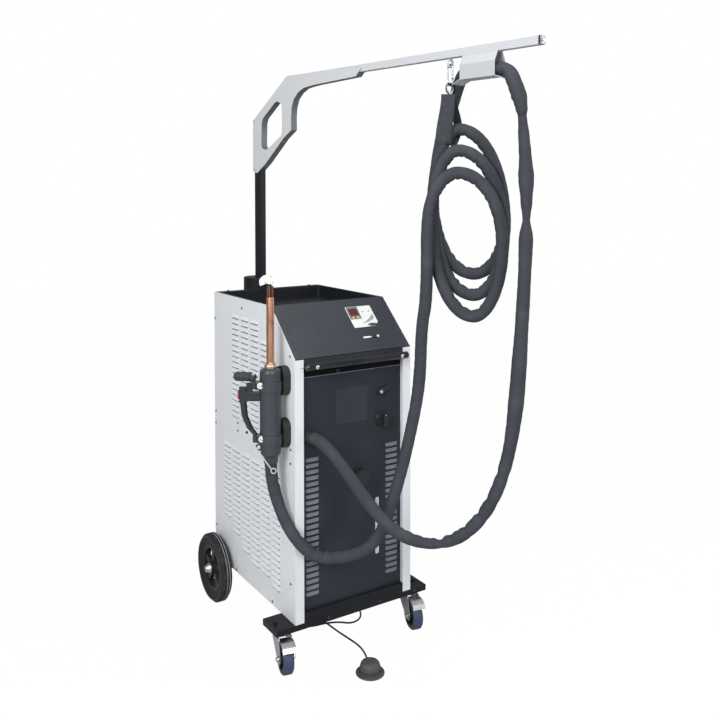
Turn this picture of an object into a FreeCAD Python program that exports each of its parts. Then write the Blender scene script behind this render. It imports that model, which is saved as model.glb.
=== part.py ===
import FreeCAD, Part
import math
import os

# Mobile induction heater for a workshop. Millimetres, Z up, the front faces -Y.
# The origin is on the floor, under the middle of the cabinet.

# Cabinet
CABINET_WIDTH = 462.0
CABINET_DEPTH = 656.0
CABINET_BOTTOM = 145.0
CABINET_TOP = 1171.0
SLOPE_FOOT = 1015.0
SLOPE_RUN = 171.0
SHEET = 2.0
FRONT_FLANGE = 33.0
FRONT_RETURN = 15.0
REAR_FLANGE = 20.0
FRONT_PANEL_SIDE_GAP = 5.0
LIP_HEIGHT = 32.0
FOOT_LIP = 18.0
TRAY_DEPTH = 45.0
TRAY_RIM = 10.0
TRAY_REAR_RIM = 32.0
TRAY_CORNER = 14.0
BEAM_WIDTH = 600.0
BEAM_DEPTH = 100.0
BEAM_HEIGHT = 20.0

# Fits
FIT = 0.3
TINY = 0.003
RUNNING = 0.05
OVERRUN = 5.0

# Louvres
LOUVRE_WIDTH = 59.0
LOUVRE_HEIGHT = 12.0
LOUVRE_PROUD = 5.0
LOUVRE_STEP = 80.5
LOUVRE_PITCH = 20.3
UPPER_LOUVRES_REAR = 491.0
UPPER_LOUVRES_TOP = 1095.0
UPPER_ROWS = ((0, 19), (0, 19), (0, 19), (3, 19))
LOWER_LOUVRES_REAR = 568.0
LOWER_LOUVRES_TOP = 601.0
LOWER_ROWS = ((0, 14), (0, 16), (0, 18), (0, 19), (0, 19), (0, 20))
RIGHT_ROWS = ((6, 14), (6, 14), (6, 14), (6, 14))
FRONT_LOUVRE_WIDTH = 50.0
FRONT_LOUVRE_SIDE = 159.0
FRONT_LOUVRE_TOP = 669.0
FRONT_ROWS = (0, 23)

# Wheels
CASTOR_DIAMETER = 100.0
CASTOR_WIDTH = 34.0
CASTOR_SIDE = 257.0
CASTOR_BACK = 50.0
CASTOR_TRAIL = 49.0
CASTOR_TURN = -12.0
WHEEL_DIAMETER = 250.0
WHEEL_WIDTH = 42.0
WHEEL_GAP = 14.0
AXLE_DIAMETER = 20.0
AXLE_BEHIND = 257.0

# Mast and arm
MAST_BEHIND = 66.0
MAST_LONG = 40.0
MAST_ACROSS = 25.0
MAST_TOP = 1850.0
SPIGOT_DIAMETER = 38.0
SOCKET_BOTTOM = 760.0
CUP_DIAMETER = 114.0
CUP_OFFSET = 28.0
CUP_BOTTOM = 1130.0
CUP_TOP = 1209.0
ARM_TURN = 10.4
ARM_SIZE = 25.0
ARM_TOP = 2008.0
ARM_BACK = 300.0
ARM_REACH = 1350.0

# Hose and pedal cable
HOSE_DIAMETER = 40.0
CABLE_DIAMETER = 6.0

# Torch
TORCH_OUT = 58.0
TORCH_BACK = 58.0
TORCH_TURN = 147.3
TORCH_BOTTOM = 701.0
TORCH_TOP = 985.0
TORCH_DIAMETER = 70.0
PIPE_DIAMETER = 27.5
PIPE_TOP = 1216.0
TIP_TOP = 1293.0

HALF = CABINET_WIDTH / 2
INSIDE = HALF - SHEET
FRONT = -CABINET_DEPTH / 2
REAR = CABINET_DEPTH / 2
PANEL_FACE = FRONT + FRONT_RETURN
PANEL_BACK = PANEL_FACE + SHEET
REAR_PANEL_FACE = REAR - SHEET
REAR_PANEL_INSIDE = REAR_PANEL_FACE - SHEET
STRIP_INSIDE = HALF - FRONT_FLANGE
SLOPE_TOP = FRONT + SLOPE_RUN
SLOPE_ANGLE = math.degrees(math.atan2(CABINET_TOP - SLOPE_FOOT, SLOPE_RUN))
SLOPE_LENGTH = math.hypot(CABINET_TOP - SLOPE_FOOT, SLOPE_RUN)
SLOPE_DROP = SHEET / math.cos(math.radians(SLOPE_ANGLE))
FLOOR_TOP = CABINET_BOTTOM + SHEET
MAST_Y = REAR + MAST_BEHIND

FULL = 360.0
QUARTER = 90.0


def vec(x, y, z):
    return FreeCAD.Vector(x, y, z)


ZERO = vec(0, 0, 0)
X_AXIS = vec(1, 0, 0)
Y_AXIS = vec(0, 1, 0)
Z_AXIS = vec(0, 0, 1)


def box(x0, x1, y0, y1, z0, z1):
    """A block between two corners, given in any order along each axis."""
    low = vec(min(x0, x1), min(y0, y1), min(z0, z1))
    size = vec(abs(x1 - x0), abs(y1 - y0), abs(z1 - z0))
    return Part.makeBox(size.x, size.y, size.z, low)


def rod(radius, start, end):
    along = end - start
    return Part.makeCylinder(radius, along.Length, start, along)


def cone(radius_start, radius_end, start, end):
    along = end - start
    return Part.makeCone(radius_start, radius_end, along.Length, start, along)


def pipe(outer, inner, start, end):
    return rod(outer, start, end).cut(rod(inner, start, end))


def unit(v):
    return v / v.Length


def wire_of(points, radii=None):
    """A closed wire through the points, each corner rounded to its own radius."""
    count = len(points)
    radii = radii or [0] * count
    ends = []
    for index, here in enumerate(points):
        back = unit(points[index - 1] - here)
        ahead = unit(points[(index + 1) % count] - here)
        radius = radii[index]
        half = back.getAngle(ahead) / 2
        reach = radius / math.tan(half)
        middle = here + unit(back + ahead) * (radius / math.sin(half) - radius)
        ends.append((here + back * reach, middle, here + ahead * reach, radius))
    edges = []
    for index, (start, middle, end, radius) in enumerate(ends):
        if radius:
            edges.append(Part.Arc(start, middle, end).toShape())
        following = ends[(index + 1) % count][0]
        if (following - end).Length > TINY:
            edges.append(Part.makeLine(end, following))
    return Part.Wire(edges)


def prism(points, along, radii=None):
    return Part.Face(wire_of(points, radii)).extrude(along)


def revolved(profile, start, along, side=X_AXIS):
    """Turn a profile of (radius, height) pairs about an axis from start."""
    direction = unit(along)
    points = [start + side * radius + direction * height for radius, height in profile]
    face = Part.Face(Part.makePolygon(points + [points[0]]))
    return face.revolve(start, direction, FULL)


def turned(shape, centre, axis, angle):
    copy = shape.copy()
    copy.rotate(centre, axis, angle)
    return copy


def moved(shape, x, y, z):
    copy = shape.copy()
    copy.translate(vec(x, y, z))
    return copy


def round_edges(shape):
    return [edge for edge in shape.Edges if edge.Curve.TypeId.endswith("Circle")]


def fused(first, *others):
    return first.fuse(list(others)).removeSplitter()


def on_slope(shape):
    """From flat, with Y up the slope from its foot and Z outwards, to the control slope."""
    return moved(turned(shape, ZERO, X_AXIS, SLOPE_ANGLE), 0, FRONT, SLOPE_FOOT)


def on_arm(shape):
    """From a frame with the arm straight forwards over the front to the turned arm."""
    return turned(shape, vec(0, MAST_Y, 0), Z_AXIS, ARM_TURN)


def arm_point(along, across, height):
    """A point by its distance along the arm from the mast, its offset and its height."""
    turn = math.radians(ARM_TURN)
    x = along * math.sin(turn) + across * math.cos(turn)
    y = MAST_Y - along * math.cos(turn) + across * math.sin(turn)
    return vec(x, y, height)


def on_torch(shape):
    """From a frame on the torch's axis, with X towards its handle, to the torch's place."""
    return moved(turned(shape, ZERO, Z_AXIS, TORCH_TURN), TORCH_X, TORCH_Y, 0)


def write(name, shape):
    if not shape.isValid():
        print("not valid:", name)
    shape.exportStep("parts/" + name + ".step")


# Louvred panels

HOOD_END = 6.0
HOOD_WALL = 1.4


def hood(width, side):
    """One pressed louvre on a panel that faces -Y: its hood and the slot behind it."""
    half = width / 2
    crown = half - HOOD_END
    top = LOUVRE_HEIGHT
    corners = [vec(-half, 0, 0), vec(half, 0, 0), vec(half, 0, top), vec(-half, 0, top)]
    edge = [vec(-crown, -LOUVRE_PROUD, 0), vec(crown, -LOUVRE_PROUD, 0)]
    faces = [
        (corners[0], corners[1], corners[2], corners[3]),
        (corners[0], corners[1], edge[1], edge[0]),
        (edge[0], edge[1], corners[2], corners[3]),
        (corners[1], corners[2], edge[1]),
        (corners[0], edge[0], corners[3]),
    ]
    shells = [Part.Face(Part.makePolygon(list(points) + [points[0]])) for points in faces]
    outer = Part.Solid(Part.makeShell(shells))
    inner_half = crown - HOOD_WALL
    slot_top = top - HOOD_WALL - HOOD_WALL
    slot = [
        vec(-inner_half, SHEET + OVERRUN, 0),
        vec(-inner_half, HOOD_WALL - LOUVRE_PROUD, 0),
        vec(-inner_half, 0, slot_top),
        vec(-inner_half, SHEET + OVERRUN, slot_top),
    ]
    inner = prism(slot, X_AXIS * (inner_half + inner_half))
    return turned(outer, ZERO, Z_AXIS, side * QUARTER), turned(inner, ZERO, Z_AXIS, side * QUARTER)


def louvred(panel, width, places, side):
    """Add the louvres at places to a flat panel. side is -1 left, 0 front, 1 right."""
    outer, inner = hood(width, side)
    hoods = [moved(outer, *place) for place in places]
    slots = [moved(inner, *place) for place in places]
    return panel.fuse(hoods).cut(Part.makeCompound(slots))


def side_places(side, rear, top, columns):
    """Places of a side panel's louvres, in columns from the rear one forwards."""
    places = []
    for column, (first, last) in enumerate(columns):
        y = FRONT + rear - LOUVRE_WIDTH / 2 - column * LOUVRE_STEP
        for row in range(first, last):
            places.append((side * HALF, y, top - row * LOUVRE_PITCH))
    return places


def side_panel(side):
    outline = [
        vec(side * HALF, FRONT, CABINET_BOTTOM),
        vec(side * HALF, FRONT, SLOPE_FOOT),
        vec(side * HALF, SLOPE_TOP, CABINET_TOP),
        vec(side * HALF, REAR, CABINET_TOP),
        vec(side * HALF, REAR, CABINET_BOTTOM),
    ]
    skin = prism(outline, X_AXIS * (-side * SHEET))
    strip_top = SLOPE_FOOT - SLOPE_DROP
    strip = box(side * HALF, side * STRIP_INSIDE, FRONT, FRONT + SHEET, CABINET_BOTTOM, strip_top)
    inner = side * (STRIP_INSIDE + SHEET)
    back = box(side * STRIP_INSIDE, inner, FRONT, PANEL_FACE, CABINET_BOTTOM, strip_top)
    rear_edge = side * (HALF - REAR_FLANGE)
    rear = box(side * HALF, rear_edge, REAR_PANEL_FACE, REAR, CABINET_BOTTOM, CABINET_TOP)
    panel = fused(skin, strip, back, rear)
    if side < 0:
        places = side_places(side, UPPER_LOUVRES_REAR, UPPER_LOUVRES_TOP, UPPER_ROWS)
        places += side_places(side, LOWER_LOUVRES_REAR, LOWER_LOUVRES_TOP, LOWER_ROWS)
    else:
        places = side_places(side, UPPER_LOUVRES_REAR, LOWER_LOUVRES_TOP, RIGHT_ROWS)
    return louvred(panel, LOUVRE_WIDTH, places, side)


# What is fixed to the front panel, as places on its face

GLAND_X = -167.0
GLAND_Z = 754.0
GLAND_FLANGE = 31.0
GLAND_NECK = 26.0
GLAND_FLANGE_THICK = 7.0
GLAND_LENGTH = 28.0
GLAND_NUT = 8.0
SWITCH_X = 117.4
SWITCH_Z = 769.5
SWITCH_RADIUS = 25.0
SWITCH_BASE_THICK = 6.0
SWITCH_KNOB_THICK = 23.0
SWITCH_SHAFT = 4.0
SWITCH_CLEAR = 2.0
SWITCH_BLOCK = 34.0
KNOB_GRIP_HALF = 7.0
KNOB_SKIRT = 7.0
LATCH_X = 111.6
LATCH_Z = 866.5
LATCH_RADIUS = 14.0
LATCH_THICK = 8.0
LATCH_SHAFT = 5.0
LATCH_REACH = 42.0
LATCH_ANGLE = 18.4
LATCH_HALF = 6.5
LATCH_CAM_REACH = 26.0
LATCH_CAM_THICK = 3.0
CAP_X = 23.3
CAP_Z = 583.0
CAP_RADIUS = 31.0
CAP_LENGTH = 24.0
CAP_TOP = 4.0
CAP_RIBS = 8
CAP_RIB = 2.5
NECK_RADIUS = 23.0
NECK_WALL = 3.0
NECK_REACH = 16.0
LEVEL_X = 98.6
LEVEL_BOTTOM = 301.0
LEVEL_TOP = 498.0
LEVEL_HALF = 7.0
LEVEL_PROUD = 1.5
BAR_HALF = 202.0
BAR_POST_X = 168.0
BAR_RADIUS = 12.0
BAR_POST_RADIUS = 5.0
BAR_OUT = 40.0
BAR_CHAMFER = 4.0
BAR_Z = 991.0
PANEL_TOP_GAP = 7.0


def front_panel():
    half = INSIDE - FRONT_PANEL_SIDE_GAP
    panel_top = SLOPE_FOOT - PANEL_TOP_GAP
    panel = box(-half, half, PANEL_FACE, PANEL_BACK, FLOOR_TOP, panel_top)
    places = []
    for side in (-1, 1):
        for row in range(*FRONT_ROWS):
            height = FRONT_LOUVRE_TOP - row * LOUVRE_PITCH
            places.append((side * FRONT_LOUVRE_SIDE, PANEL_FACE, height))
    panel = louvred(panel, FRONT_LOUVRE_WIDTH, places, 0)
    openings = [
        (GLAND_X, GLAND_Z, GLAND_NECK - NECK_WALL),
        (SWITCH_X, SWITCH_Z, SWITCH_SHAFT + SWITCH_CLEAR),
        (LATCH_X, LATCH_Z, LATCH_SHAFT + RUNNING),
        (CAP_X, CAP_Z, NECK_RADIUS + FIT),
    ]
    cuts = []
    for x, z, radius in openings:
        cuts.append(rod(radius, vec(x, PANEL_FACE - OVERRUN, z), vec(x, PANEL_BACK + OVERRUN, z)))
    cuts.append(level_bar(FIT, PANEL_FACE - OVERRUN, PANEL_BACK + OVERRUN))
    return panel.cut(Part.makeCompound(cuts))


def level_bar(grow, y0, y1):
    """The level window's long shape with round ends, between two depths."""
    half = LEVEL_HALF + grow
    bottom = LEVEL_BOTTOM - grow
    top = LEVEL_TOP + grow
    corners = [
        vec(LEVEL_X - half, y0, bottom),
        vec(LEVEL_X + half, y0, bottom),
        vec(LEVEL_X + half, y0, top),
        vec(LEVEL_X - half, y0, top),
    ]
    rounding = LEVEL_HALF / 2
    return prism(corners, Y_AXIS * (y1 - y0), [rounding] * len(corners))


def level_window():
    return level_bar(0, PANEL_FACE - LEVEL_PROUD, TANK_FRONT)


def hose_gland():
    face = vec(GLAND_X, PANEL_FACE, GLAND_Z)
    flange_end = face - Y_AXIS * GLAND_FLANGE_THICK
    end = face - Y_AXIS * GLAND_LENGTH
    flange = cone(GLAND_FLANGE, GLAND_FLANGE - NECK_WALL, face, flange_end)
    neck = cone(GLAND_NECK + NECK_WALL / 2, HOSE_DIAMETER / 2 + NECK_WALL, flange_end, end)
    back = face + Y_AXIS * (SHEET + GLAND_NUT)
    shank = rod(GLAND_NECK - NECK_WALL - FIT, face, back)
    nut = rod(GLAND_FLANGE - NECK_WALL, face + Y_AXIS * SHEET, back)
    return fused(flange, neck, shank, nut)


def push_bar():
    y = PANEL_FACE - BAR_OUT
    bar = rod(BAR_RADIUS, vec(-BAR_HALF, y, BAR_Z), vec(BAR_HALF, y, BAR_Z))
    bar = bar.makeChamfer(BAR_CHAMFER, round_edges(bar))
    for side in (-1, 1):
        x = side * BAR_POST_X
        bar = bar.fuse(rod(BAR_POST_RADIUS, vec(x, y, BAR_Z), vec(x, PANEL_FACE, BAR_Z)))
    return bar.removeSplitter()


def main_switch_base():
    face = vec(SWITCH_X, PANEL_FACE, SWITCH_Z)
    front = face - Y_AXIS * SWITCH_BASE_THICK
    disc = cone(SWITCH_RADIUS + SWITCH_CLEAR, SWITCH_RADIUS, face, front)
    body_half = SWITCH_RADIUS - SWITCH_CLEAR
    back = PANEL_BACK + SWITCH_BLOCK
    body = box(SWITCH_X - body_half, SWITCH_X + body_half, PANEL_BACK, back,
               SWITCH_Z - body_half, SWITCH_Z + body_half)
    throat = rod(SWITCH_SHAFT + SWITCH_CLEAR - FIT, face, face + Y_AXIS * SHEET)
    bore = rod(SWITCH_SHAFT + RUNNING, front - Y_AXIS * OVERRUN, vec(SWITCH_X, back, SWITCH_Z))
    return fused(disc, throat, body).cut(bore)


def main_switch_knob():
    start = vec(SWITCH_X, PANEL_FACE - SWITCH_BASE_THICK - FIT, SWITCH_Z)
    skirt = cone(SWITCH_RADIUS - FIT, SWITCH_RADIUS - SWITCH_CLEAR, start, start - Y_AXIS * KNOB_SKIRT)
    half = SWITCH_RADIUS - SWITCH_CLEAR - SWITCH_CLEAR
    grip = box(SWITCH_X - KNOB_GRIP_HALF, SWITCH_X + KNOB_GRIP_HALF, start.y - KNOB_SKIRT,
               start.y - SWITCH_KNOB_THICK, SWITCH_Z - half, SWITCH_Z + half)
    shaft = rod(SWITCH_SHAFT, start, vec(SWITCH_X, PANEL_BACK + SWITCH_BLOCK - FIT, SWITCH_Z))
    return fused(skirt, grip, shaft)


def latch_lever():
    centre = vec(LATCH_X, PANEL_FACE - FIT, LATCH_Z)
    front = centre - Y_AXIS * LATCH_THICK
    hub = cone(LATCH_RADIUS, LATCH_RADIUS - SHEET, centre, front)
    tip = LATCH_RADIUS - SHEET
    blade = [
        vec(LATCH_X, centre.y, LATCH_Z - tip + SHEET),
        vec(LATCH_X + LATCH_REACH, centre.y, LATCH_Z - LATCH_HALF),
        vec(LATCH_X + LATCH_REACH, centre.y, LATCH_Z + LATCH_HALF),
        vec(LATCH_X, centre.y, LATCH_Z + tip - SHEET),
    ]
    rounding = LATCH_HALF / 2
    lever = prism(blade, Y_AXIS * (-LATCH_THICK + SHEET), [0, rounding, rounding, 0])
    lever = turned(lever, centre, Y_AXIS, -LATCH_ANGLE)
    cam_start = PANEL_BACK + FIT
    cam_end = cam_start + LATCH_CAM_THICK
    shaft = rod(LATCH_SHAFT, centre, vec(LATCH_X, cam_end, LATCH_Z))
    cam = box(LATCH_X - LATCH_HALF, LATCH_X + LATCH_CAM_REACH, cam_start, cam_end,
              LATCH_Z - LATCH_HALF, LATCH_Z + LATCH_HALF)
    return fused(hub, lever, shaft, cam)


def tank_cap():
    seat = vec(CAP_X, PANEL_FACE - FIT, CAP_Z)
    front = seat - Y_AXIS * CAP_LENGTH
    cap = cone(CAP_RADIUS, CAP_RADIUS - SHEET, seat, front)
    ribs = []
    for number in range(CAP_RIBS):
        rib = box(CAP_X - CAP_RIB, CAP_X + CAP_RIB, seat.y - SHEET, front.y + SHEET,
                  CAP_Z, CAP_Z + CAP_RADIUS + CAP_RIB / 2)
        ribs.append(turned(rib, seat, Y_AXIS, number * FULL / CAP_RIBS))
    cap = cap.fuse(ribs)
    well = rod(NECK_RADIUS + RUNNING, seat + Y_AXIS * OVERRUN, front + Y_AXIS * CAP_TOP)
    return cap.cut(well)


# Control slope and tray

KEYPAD_LEFT = 47.0
KEYPAD_FOOT = 102.0
KEYPAD_WIDTH = 105.0
KEYPAD_HEIGHT = 94.0
KEYPAD_THICK = 1.2
KEYPAD_CORNER = 6.0
KEYPAD_CUT = 18.0
DISPLAY_LEFT_INSET = 8.5
DISPLAY_TOP_INSET = 11.0
DISPLAY_WIDTH = 33.5
DISPLAY_HEIGHT = 29.0
DISPLAY_DEEP = 9.0
PANEL_SIDE_WALL = 18.0


def control_panel():
    plate = box(-INSIDE, INSIDE, 0, SLOPE_LENGTH, -SHEET, 0)
    window = display_block(FIT, -SHEET - OVERRUN, OVERRUN)
    plate = on_slope(plate.cut(window))
    keep = box(-INSIDE, INSIDE, FRONT, SLOPE_TOP, SLOPE_FOOT - FOOT_LIP, CABINET_TOP)
    plate = plate.common(keep)
    lip_bottom = SLOPE_FOOT - FOOT_LIP
    lip = box(-STRIP_INSIDE, STRIP_INSIDE, FRONT, FRONT + SHEET, lip_bottom, SLOPE_FOOT - SLOPE_DROP)
    fold = box(-STRIP_INSIDE, STRIP_INSIDE, FRONT, PANEL_FACE, lip_bottom, lip_bottom + SHEET)
    walls = []
    for side in (-1, 1):
        wall = box(side * INSIDE, side * (INSIDE - SHEET), SHEET, SLOPE_LENGTH - PANEL_SIDE_WALL,
                   -PANEL_SIDE_WALL, 0)
        under = box(-HALF, HALF, FRONT + FRONT_RETURN, REAR, CABINET_BOTTOM, CABINET_TOP)
        walls.append(on_slope(wall).common(under))
    return fused(plate, lip, fold, *walls)


def display_block(grow, z0, z1):
    left = KEYPAD_LEFT + DISPLAY_LEFT_INSET
    top = KEYPAD_FOOT + KEYPAD_HEIGHT - DISPLAY_TOP_INSET
    return box(left - grow, left + DISPLAY_WIDTH + grow, top - DISPLAY_HEIGHT - grow, top + grow, z0, z1)


def keypad():
    right = KEYPAD_LEFT + KEYPAD_WIDTH
    top = KEYPAD_FOOT + KEYPAD_HEIGHT
    corners = [
        vec(KEYPAD_LEFT, KEYPAD_FOOT, 0),
        vec(right - KEYPAD_CUT, KEYPAD_FOOT, 0),
        vec(right, KEYPAD_FOOT + KEYPAD_CUT, 0),
        vec(right, top, 0),
        vec(KEYPAD_LEFT, top, 0),
    ]
    sheet = prism(corners, Z_AXIS * KEYPAD_THICK, [KEYPAD_CORNER] * len(corners))
    return on_slope(sheet.cut(display_block(FIT, -OVERRUN, OVERRUN)))


def display_window():
    return on_slope(display_block(0, -DISPLAY_DEEP, KEYPAD_THICK))


def top_tray():
    rim = box(-INSIDE, INSIDE, SLOPE_TOP, REAR_PANEL_FACE, CABINET_TOP - SHEET, CABINET_TOP)
    half = INSIDE - TRAY_RIM
    front = SLOPE_TOP + TRAY_RIM
    rear = REAR_PANEL_FACE - TRAY_REAR_RIM
    bottom = CABINET_TOP - TRAY_DEPTH
    corners = [vec(-half, front, bottom), vec(half, front, bottom),
               vec(half, rear, bottom), vec(-half, rear, bottom)]
    pan = prism(corners, Z_AXIS * TRAY_DEPTH, [TRAY_CORNER] * len(corners))
    inner = [vec(-half + SHEET, front + SHEET, bottom + SHEET),
             vec(half - SHEET, front + SHEET, bottom + SHEET),
             vec(half - SHEET, rear - SHEET, bottom + SHEET),
             vec(-half + SHEET, rear - SHEET, bottom + SHEET)]
    hollow = prism(inner, Z_AXIS * TRAY_DEPTH, [TRAY_CORNER - SHEET] * len(inner))
    return fused(rim, pan).cut(hollow)


# Rear

GRILLE_SLOTS = 11
GRILLE_SLOT_HALF = 3.0
FAN_Z = 430.0
FAN_RADIUS = 98.0
FAN_HUB = 31.0
FAN_BLADES = 7
FAN_BLADE_THICK = 2.5
FAN_PITCH = 32.0
FAN_DEEP = 22.0
FAN_FREE = 6.0
FAN_SHAFT = 4.0
SHROUD_FREE = 8.0
RADIATOR_HALF = 122.0
RADIATOR_THICK = 38.0
RADIATOR_FOOT = 24.0
STRUT_HALF = 8.0
STRUT_THICK = 5.0


def rear_panel():
    panel = box(-INSIDE, INSIDE, REAR_PANEL_INSIDE, REAR_PANEL_FACE, FLOOR_TOP, CABINET_TOP - SHEET)
    cuts = []
    middle = (GRILLE_SLOTS - 1) / 2
    for number in range(GRILLE_SLOTS):
        rise = (number - middle) * FAN_RADIUS / (middle + 1)
        half = math.sqrt(FAN_RADIUS ** 2 - rise ** 2)
        cuts.append(box(-half, half, REAR_PANEL_INSIDE - OVERRUN, REAR_PANEL_FACE + OVERRUN,
                        FAN_Z + rise - GRILLE_SLOT_HALF, FAN_Z + rise + GRILLE_SLOT_HALF))
    return panel.cut(Part.makeCompound(cuts))


def radiator():
    core_back = REAR_PANEL_INSIDE - FAN_FREE - FAN_DEEP - FAN_FREE - STRUT_THICK
    core_front = core_back - RADIATOR_THICK
    low = FAN_Z - RADIATOR_HALF
    high = FAN_Z + RADIATOR_HALF
    core = box(-RADIATOR_HALF, RADIATOR_HALF, core_front, core_back, low, high)
    shroud = box(-RADIATOR_HALF, RADIATOR_HALF, core_back, REAR_PANEL_INSIDE, low, high)
    shroud = shroud.cut(rod(FAN_RADIUS + SHROUD_FREE, vec(0, core_back, FAN_Z),
                            vec(0, REAR_PANEL_INSIDE + OVERRUN, FAN_Z)))
    struts = []
    for angle in (0, QUARTER):
        strut = box(-FAN_RADIUS - SHROUD_FREE - SHEET, FAN_RADIUS + SHROUD_FREE + SHEET, core_back,
                    core_back + STRUT_THICK, FAN_Z - STRUT_HALF, FAN_Z + STRUT_HALF)
        struts.append(turned(strut, vec(0, 0, FAN_Z), Y_AXIS, angle))
    pin_end = core_back + STRUT_THICK + FAN_FREE + FAN_DEEP
    pin = rod(FAN_SHAFT, vec(0, core_back, FAN_Z), vec(0, pin_end, FAN_Z))
    feet = []
    for side in (-1, 1):
        feet.append(box(side * RADIATOR_HALF, side * (RADIATOR_HALF - RADIATOR_FOOT), core_front,
                        core_front + SHEET + SHEET, FLOOR_TOP, low))
        feet.append(box(side * RADIATOR_HALF, side * (RADIATOR_HALF - RADIATOR_FOOT), core_front,
                        REAR_PANEL_INSIDE, FLOOR_TOP, FLOOR_TOP + SHEET + SHEET))
    return fused(core, shroud, pin, *struts, *feet)


def fan_rotor():
    core_back = REAR_PANEL_INSIDE - FAN_FREE - FAN_DEEP - FAN_FREE - STRUT_THICK
    start = core_back + STRUT_THICK + FIT
    end = start + FAN_DEEP
    hub = rod(FAN_HUB, vec(0, start, FAN_Z), vec(0, end, FAN_Z))
    blades = []
    middle = (start + end) / 2
    chord = FAN_DEEP / math.sin(math.radians(FAN_PITCH + FAN_PITCH)) / 2
    for number in range(FAN_BLADES):
        blade = box(-chord, chord, middle - FAN_BLADE_THICK / 2, middle + FAN_BLADE_THICK / 2,
                    FAN_Z + FAN_HUB - FAN_BLADE_THICK, FAN_Z + FAN_RADIUS)
        blade = turned(blade, vec(0, middle, FAN_Z), Z_AXIS, FAN_PITCH)
        blades.append(turned(blade, vec(0, middle, FAN_Z), Y_AXIS, number * FULL / FAN_BLADES))
    rotor = hub.fuse(blades)
    return rotor.cut(rod(FAN_SHAFT + RUNNING, vec(0, start - OVERRUN, FAN_Z), vec(0, end + OVERRUN, FAN_Z)))


# Base and running gear

AXLE_BLOCK_IN = 38.0
AXLE_BLOCK_HALF = 20.0
AXLE_BLOCK_BELOW = 12.0
AXLE_Z = WHEEL_DIAMETER / 2
WHEEL_INNER = HALF + WHEEL_GAP
WHEEL_OUTER = WHEEL_INNER + WHEEL_WIDTH
HUB_CAP_RADIUS = 19.0
HUB_CAP_LENGTH = 15.0
SPACER_RADIUS = 15.0


def base_plate():
    floor = box(-INSIDE, INSIDE, PANEL_FACE, REAR_PANEL_FACE, CABINET_BOTTOM, FLOOR_TOP)
    apron = box(-STRIP_INSIDE, STRIP_INSIDE, FRONT, PANEL_FACE, CABINET_BOTTOM, FLOOR_TOP)
    lip_top = CABINET_BOTTOM + LIP_HEIGHT
    lip = box(-STRIP_INSIDE, STRIP_INSIDE, FRONT, FRONT + SHEET, CABINET_BOTTOM, lip_top)
    fold = box(-STRIP_INSIDE, STRIP_INSIDE, FRONT, PANEL_FACE, lip_top - SHEET, lip_top)
    blocks = []
    for side in (-1, 1):
        inner = side * (INSIDE - AXLE_BLOCK_IN)
        block = box(side * INSIDE, inner, AXLE_BEHIND - AXLE_BLOCK_HALF, AXLE_BEHIND + AXLE_BLOCK_HALF,
                    AXLE_Z - AXLE_BLOCK_BELOW, CABINET_BOTTOM)
        blocks.append(block)
    plate = fused(floor, apron, lip, fold, *blocks)
    bore = rod(AXLE_DIAMETER / 2, vec(-HALF, AXLE_BEHIND, AXLE_Z), vec(HALF, AXLE_BEHIND, AXLE_Z))
    return plate.cut(bore)


PLATE_HALF = 32.0
PLATE_THICK = 3.0
RACE_RADIUS = 25.0
RACE_DEEP = 6.0
KINGPIN = 6.0
KINGPIN_HEAD = 10.0
KINGPIN_HEAD_THICK = 3.0
CROWN_THICK = 7.0
CROWN_RADIUS = 27.0
FORK_WALL = 3.0
FORK_GAP = 3.0
CASTOR_AXLE = 6.0
AXLE_EAR = 14.0
BRAKE_PIVOT_Y = -40.0
BRAKE_PIVOT_Z = 106.0
BRAKE_PIN = 2.5
BRAKE_REACH = 44.0
BRAKE_THICK = 2.5
BRAKE_DROP = 12.0
BRAKE_EYE = 5.0
BRAKE_RISE = 7.0
BEAM_WALL = 2.5

BEAM_BOTTOM = CABINET_BOTTOM - BEAM_HEIGHT
CASTOR_Y = FRONT + CASTOR_BACK
PLATE_BOTTOM = BEAM_BOTTOM - PLATE_THICK
CROWN_TOP = PLATE_BOTTOM - RACE_DEEP - FIT
CROWN_BOTTOM = CROWN_TOP - CROWN_THICK
CASTOR_AXLE_Z = CASTOR_DIAMETER / 2


def castor_frame(shape, side):
    """From a frame on the swivel axis, with the trail along -Y, to one castor."""
    return moved(turned(shape, ZERO, Z_AXIS, CASTOR_TURN), side * CASTOR_SIDE, CASTOR_Y, 0)


def front_beam():
    half = BEAM_WIDTH / 2
    beam = box(-half, half, FRONT, FRONT + BEAM_DEPTH, BEAM_BOTTOM, CABINET_BOTTOM)
    hollow = box(-half + BEAM_WALL, half - BEAM_WALL, FRONT + BEAM_WALL, FRONT + BEAM_DEPTH - BEAM_WALL,
                 BEAM_BOTTOM + BEAM_WALL, CABINET_BOTTOM - BEAM_WALL)
    hole = rod(BEAM_WALL, vec(0, CASTOR_Y, BEAM_BOTTOM - OVERRUN), vec(0, CASTOR_Y, BEAM_BOTTOM + OVERRUN))
    beam = beam.cut(Part.makeCompound([hollow, hole]))
    for side in (-1, 1):
        plate = box(-PLATE_HALF, PLATE_HALF, -PLATE_HALF, PLATE_HALF, PLATE_BOTTOM, BEAM_BOTTOM)
        race = rod(RACE_RADIUS, vec(0, 0, CROWN_TOP + FIT), vec(0, 0, PLATE_BOTTOM))
        head_top = CROWN_BOTTOM - FIT
        pin = rod(KINGPIN, vec(0, 0, head_top), vec(0, 0, PLATE_BOTTOM))
        head = rod(KINGPIN_HEAD, vec(0, 0, head_top - KINGPIN_HEAD_THICK), vec(0, 0, head_top))
        mount = fused(plate, race, pin, head)
        beam = beam.fuse(castor_frame(mount, side))
    return beam


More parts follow.
